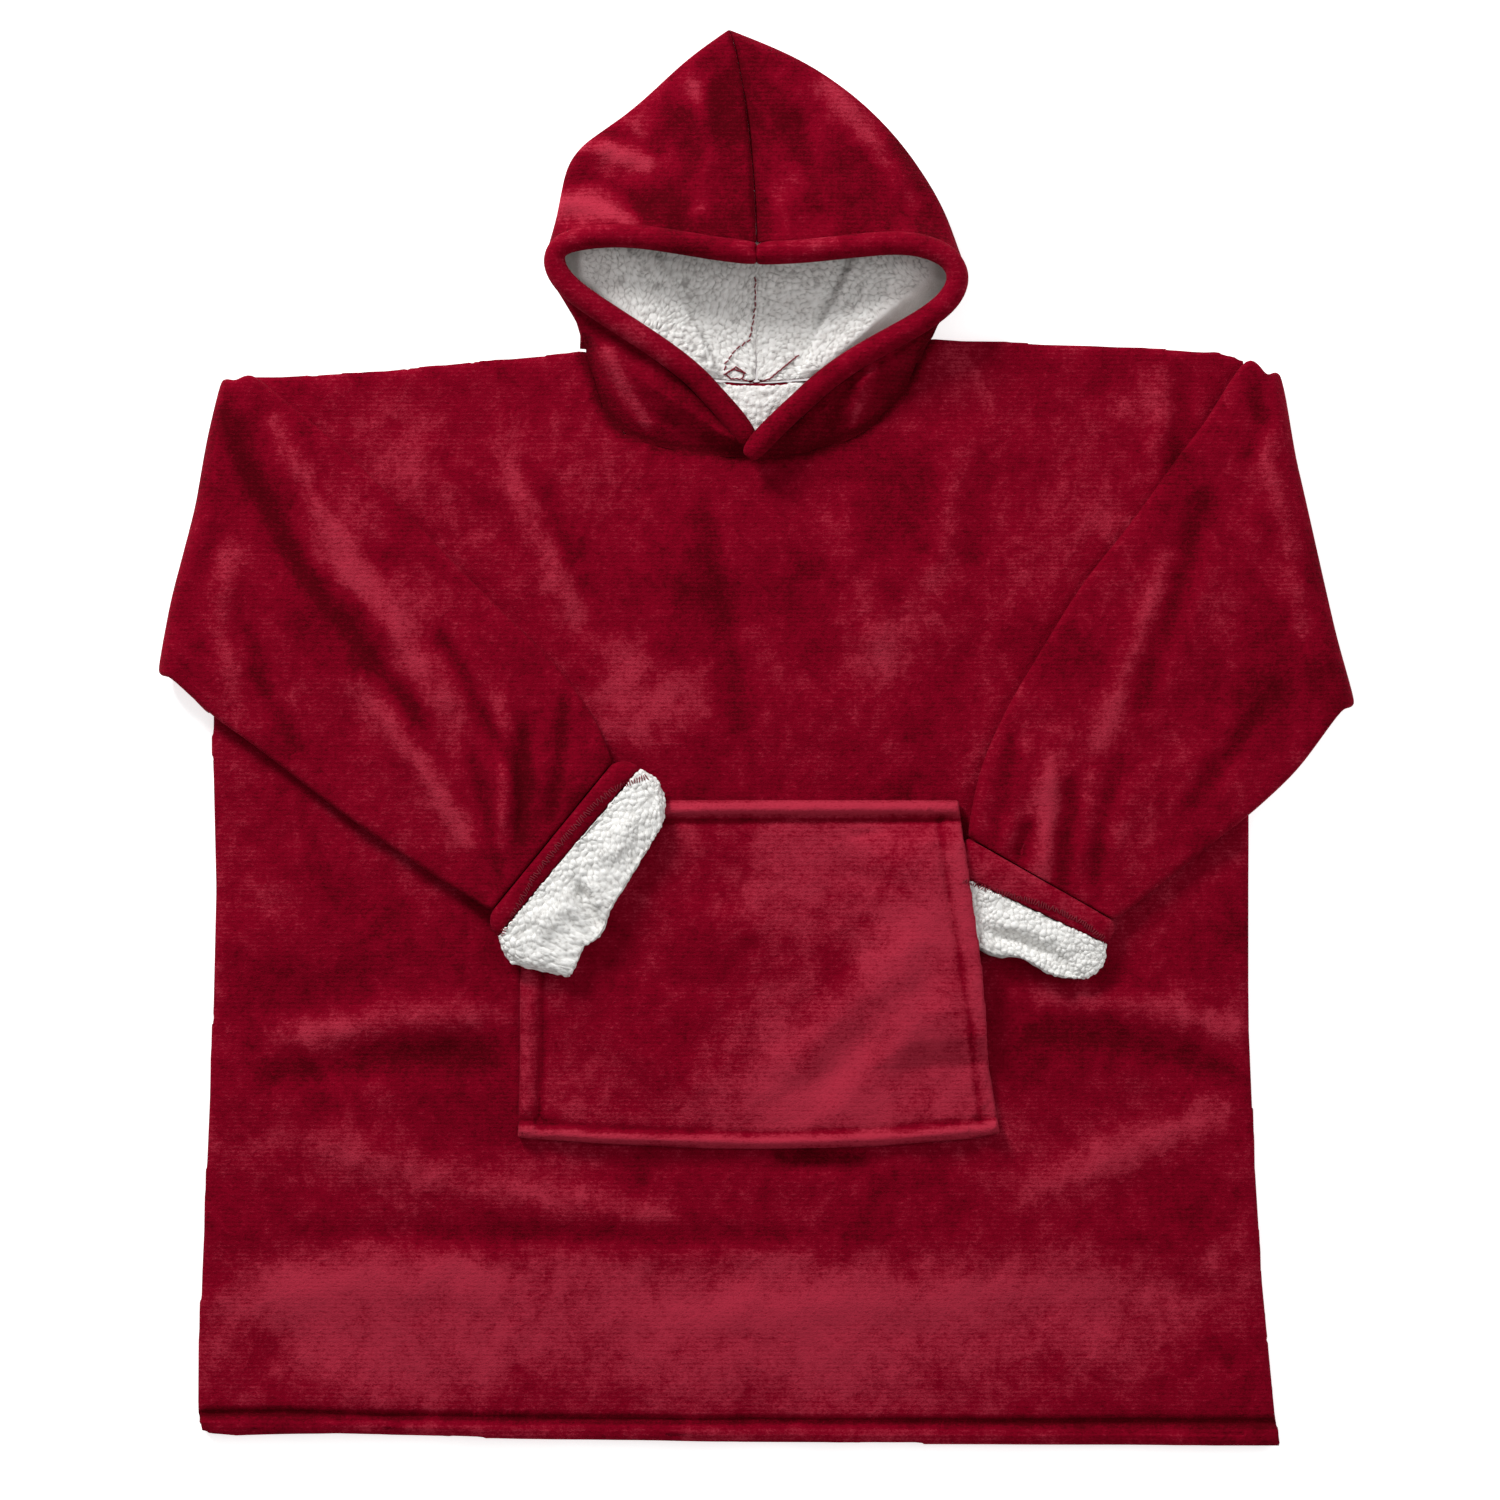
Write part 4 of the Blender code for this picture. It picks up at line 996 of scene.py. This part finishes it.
def raise_wedge(obj, side):
    """Lifts the back wall of the lining outside the wedge's line, with a lip along it."""
    co, normal = read_points(obj)
    x, y, z = co.T
    line = np.array(WEDGES[side], float)
    away, _ = line_distance(x, y, WEDGES[side])
    line_x = np.interp(y, line[::-1, 1], line[::-1, 0])
    outside = x < line_x if side == "right" else x > line_x
    away = np.where(outside, away, 0.0)
    lip = np.clip(away / LIP_WIDTH, 0.0, 1.0)
    rise = WEDGE_LIP * lip * lip * (3.0 - 2.0 * lip) + WEDGE_SLOPE * away
    low_layer = in_opening(x, y, z) & (normal[:, 2] > 0.2) & (z < LOW_LAYER)
    neck_end = np.clip((y - NECK_END[0]) / NECK_END[1], 0.0, 1.0)
    crown_end = np.clip((CROWN_END[0] - y) / CROWN_END[1], 0.0, 1.0)
    roll_end = np.clip(inside_rolls(x, y) / ROLL_END, 0.0, 1.0)
    share = neck_end * crown_end * roll_end * roll_end * (3.0 - 2.0 * roll_end)
    co[:, 2] += np.where(low_layer, np.minimum(rise, WEDGE_TOP) * share, 0.0)
    write_points(obj, co)


for side in ("right", "left"):
    panel = subdivide(welded_copy(f"hood_{side}", f"{side}_hood_panel"), 3)
    shape_top(panel, hood_height)
    spread(panel, NECK_SEAM, NECK_CENTRE, NECK_REACH, NECK_PRESS)
    slide(panel, *PANEL_TIPS[side])
    seat(panel, ROLL_SEATS[side], ROLL_REACH, ROLL_LIFT)
    settle(panel, NECK_SIDES[side], *NECK_SETTLE)
    # Painted shade in the crease troughs and along the neck seam, and painted highlight on the fold
    # ridges.
    painted_shading = [(r[0], 0.13 * r[1], r[2]) for r in HOOD_FOLDS] + [(4.0, -0.4, NECK_SEAM)]
    finish_piece(panel, f"hood_{side}", fleece, (HOOD_NAP, 0.34, painted_shading))
    roll = subdivide(welded_copy(f"hood_hem_{side}", f"{side}_face_edge"), 3, hold=False)
    swell(roll, ROLL_PUFF)
    slide(roll, *ROLL_TIPS[side])
    finish_piece(roll, f"hood_hem_{side}", fleece_edge, (HOOD_NAP, 0.42))
    lining = subdivide(welded_copy(f"hood_lining_{side}", f"{side}_hood_lining"), 2)
    refine(lining, in_opening, LINING_CELL)
    spread(lining, NECK_SEAM, NECK_CENTRE, LINING_REACH, -LINING_TUCK)
    slide(lining, *LINING_TIPS[side])
    settle(lining, NECK_SIDES[side], *NECK_SETTLE)
    raise_wedge(lining, side)
    curl(lining, CURL_HEIGHT, SEED + 12, centre=HOOD_CAVITY)
    finish_piece(lining, f"hood_lining_{side}", sherpa_shaded)

# %% [markdown]
# ## Stitching
#
# Dark red thread closes the hood's back seam and neck seam, and overlocks the edge where each cuff
# is turned out. Every stitch is a short thread laid on the surface under it, and the stitches of a
# seam are joined into one piece.


# %% Thread
ABOVE_ALL = 0.2


def surface_height(x, y):
    """Height of the highest surface at x, y, in millimetres."""
    graph = bpy.context.evaluated_depsgraph_get()
    start = (x * MM, y * MM, ABOVE_ALL)
    hit, place, *_ = bpy.context.scene.ray_cast(graph, start, (0.0, 0.0, -1.0))
    return place.z / MM if hit else 0.0


def along(points, step):
    """Evenly spaced points on a line, each with the direction there."""
    points = np.array(points, float)
    steps = np.linalg.norm(np.diff(points, axis=0), axis=1)
    passed = np.concatenate([[0.0], np.cumsum(steps)])
    places = []
    for at in np.arange(0.0, passed[-1], step):
        k = min(int(np.searchsorted(passed, at, side="right")) - 1, len(steps) - 1)
        way = (points[k + 1] - points[k]) / steps[k]
        places.append((points[k] + way * (at - passed[k]), way))
    return places


def sew(name, threads, radius):
    """Joins many short threads, each a list of points in millimetres, into one piece."""
    curve = bpy.data.curves.new(name, "CURVE")
    curve.dimensions = "3D"
    curve.bevel_depth = radius * MM
    curve.bevel_resolution = 1
    curve.use_fill_caps = True
    for thread in threads:
        spline = curve.splines.new("POLY")
        spline.points.add(len(thread) - 1)
        for point, (x, y, z) in zip(spline.points, thread):
            point.co = (x * MM, y * MM, z * MM, 1.0)
    obj = bpy.data.objects.new(name, curve)
    bpy.context.scene.collection.objects.link(obj)
    select_only(obj)
    bpy.ops.object.convert(target="MESH")
    bpy.ops.object.shade_smooth()
    obj.data.materials.append(thread_finish)
    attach(obj, "root")
    print(name, len(threads), "stitches,", len(obj.data.polygons), "faces")


thread_finish = Finish("dark red thread", Roughness=0.8, Base_Color=colour(120, 4, 30)).material

# %% Seams inside the hood
HOOD_THREAD = 0.55
BACK_SEAM = [(-1, 382), (-1, 362), (-3, 345), (-6, 331), (-17, 324), (-25, 313), (-27, 304)]
SEAM_KNOT = [(-26, 303), (-19, 307), (-10, 304), (-12, 299), (-21, 299), (-26, 303), (-17, 309), (-8, 303)]
NECK_STITCHES = [(-10, 298), (0, 296), (11, 299), (23, 309), (34, 318)]
random = np.random.default_rng(SEED + 20)


def laid(points, lift):
    return [(x, y, surface_height(x, y) + lift) for x, y in points]


threads = []
for line, step, length in ((BACK_SEAM, 5.2, 3.8), (NECK_STITCHES, 3.2, 3.4), (SEAM_KNOT, 2.4, 2.6)):
    for place, way in along(line, step):
        turn = random.uniform(-0.35, 0.35)
        across = np.array([-way[1], way[0]]) * turn * length * 0.5
        ends = place - way * length / 2 - across, place, place + way * length / 2 + across
        low, top, high = laid(ends, 0.2)
        threads.append([low, (top[0], top[1], top[2] + 0.9), high])
sew("hood_stitches", threads, HOOD_THREAD)

# %% Overlocked cuff edges
CUFF_THREAD = 0.42
CUFF_STITCH_STEP = 2.1
CUFF_EDGES = {
    "right": [
        (-91, -33), (-115, -41), (-135, -57), (-164, -90),
        (-184, -116), (-194, -134), (-203, -150), (-212, -165),
    ],
    "left": [(172, -119), (197, -128), (227, -136), (250, -144), (269, -153), (288, -167)],
}
for side, line in CUFF_EDGES.items():
    threads = []
    for place, way in along(line, CUFF_STITCH_STEP):
        across = np.array([-way[1], way[0]])
        across *= 1.0 if (across @ np.array([1.0 if side == "right" else 0.2, -1.0])) > 0 else -1.0
        lean = way * random.uniform(-1.2, 1.2)
        outer = place - across * random.uniform(1.6, 3.4) + lean
        inner = place + across * random.uniform(0.8, 2.4) - lean
        low, top, high = laid((outer, place, inner), 0.1)
        threads.append([low, (top[0], top[1], top[2] + random.uniform(0.6, 1.6)), high])
    sew(f"{side}_cuff_stitches", threads, CUFF_THREAD)

# %% [markdown]
# ## Floor, light and camera
#
# The hoodie was photographed from straight above on a white ground with soft light all round, a
# little stronger from the hood's side. The floor is plain and the light is plain.

# %% Floor and light
bpy.ops.object.select_all(action="DESELECT")
bpy.ops.mesh.primitive_plane_add(size=6.0, location=(0.0, 0.0, -0.0005))
floor = bpy.context.object
floor.name = "floor"
floor_finish = Finish("white ground", Roughness=1.0, Base_Color=(0.94, 0.94, 0.94, 1.0))
floor_finish.shader.inputs["Emission Color"].default_value = (1.0, 1.0, 1.0, 1.0)
floor_finish.shader.inputs["Emission Strength"].default_value = 0.6
floor.data.materials.append(floor_finish.material)

world = bpy.data.worlds.new("pale surround")
world.use_nodes = True
world.node_tree.nodes["Background"].inputs["Color"].default_value = (1.0, 1.0, 1.0, 1.0)
world.node_tree.nodes["Background"].inputs["Strength"].default_value = 0.42
bpy.context.scene.world = world

LIGHT_COLUMNS = ("name", "x", "y", "z", "size", "watts")
LIGHTS = [
    ("upper left light", -1.7, 2.7, 1.7, 0.9, 130.0),
    ("right fill light", 2.4, 0.6, 2.4, 1.6, 24.0),
]
for row in LIGHTS:
    light = dict(zip(LIGHT_COLUMNS, row))
    place = mathutils.Vector((light["x"], light["y"], light["z"]))
    bpy.ops.object.light_add(type="AREA", location=place)
    lamp = bpy.context.object
    lamp.name = light["name"]
    lamp.data.size = light["size"]
    lamp.data.energy = light["watts"]
    lamp.rotation_euler = (-place).to_track_quat("-Z", "Y").to_euler()

# %% [markdown]
# ## Camera
#
# The camera looks straight down on a square frame. Every piece was cut flat before it was sewn. The
# sizes follow from the photo and from how such garments are cut: a sleeve and a cuff are tubes, so
# their width is measured all round.

# %% Camera
CAMERA_HEIGHT = 4.0
FRAME_SIDE = 1.2525
FRAME_CENTRE = (-0.0054, -0.0104)
bpy.ops.object.camera_add(location=(FRAME_CENTRE[0], FRAME_CENTRE[1], CAMERA_HEIGHT))
camera = bpy.context.object
camera.name = "camera"
camera.rotation_euler = (0.0, 0.0, 0.0)
camera.data.sensor_width = 36.0
camera.data.lens = 36.0 * CAMERA_HEIGHT / FRAME_SIDE
camera.data.clip_end = 20.0
bpy.context.scene.camera = camera
bpy.context.scene.view_settings.view_transform = "Standard"
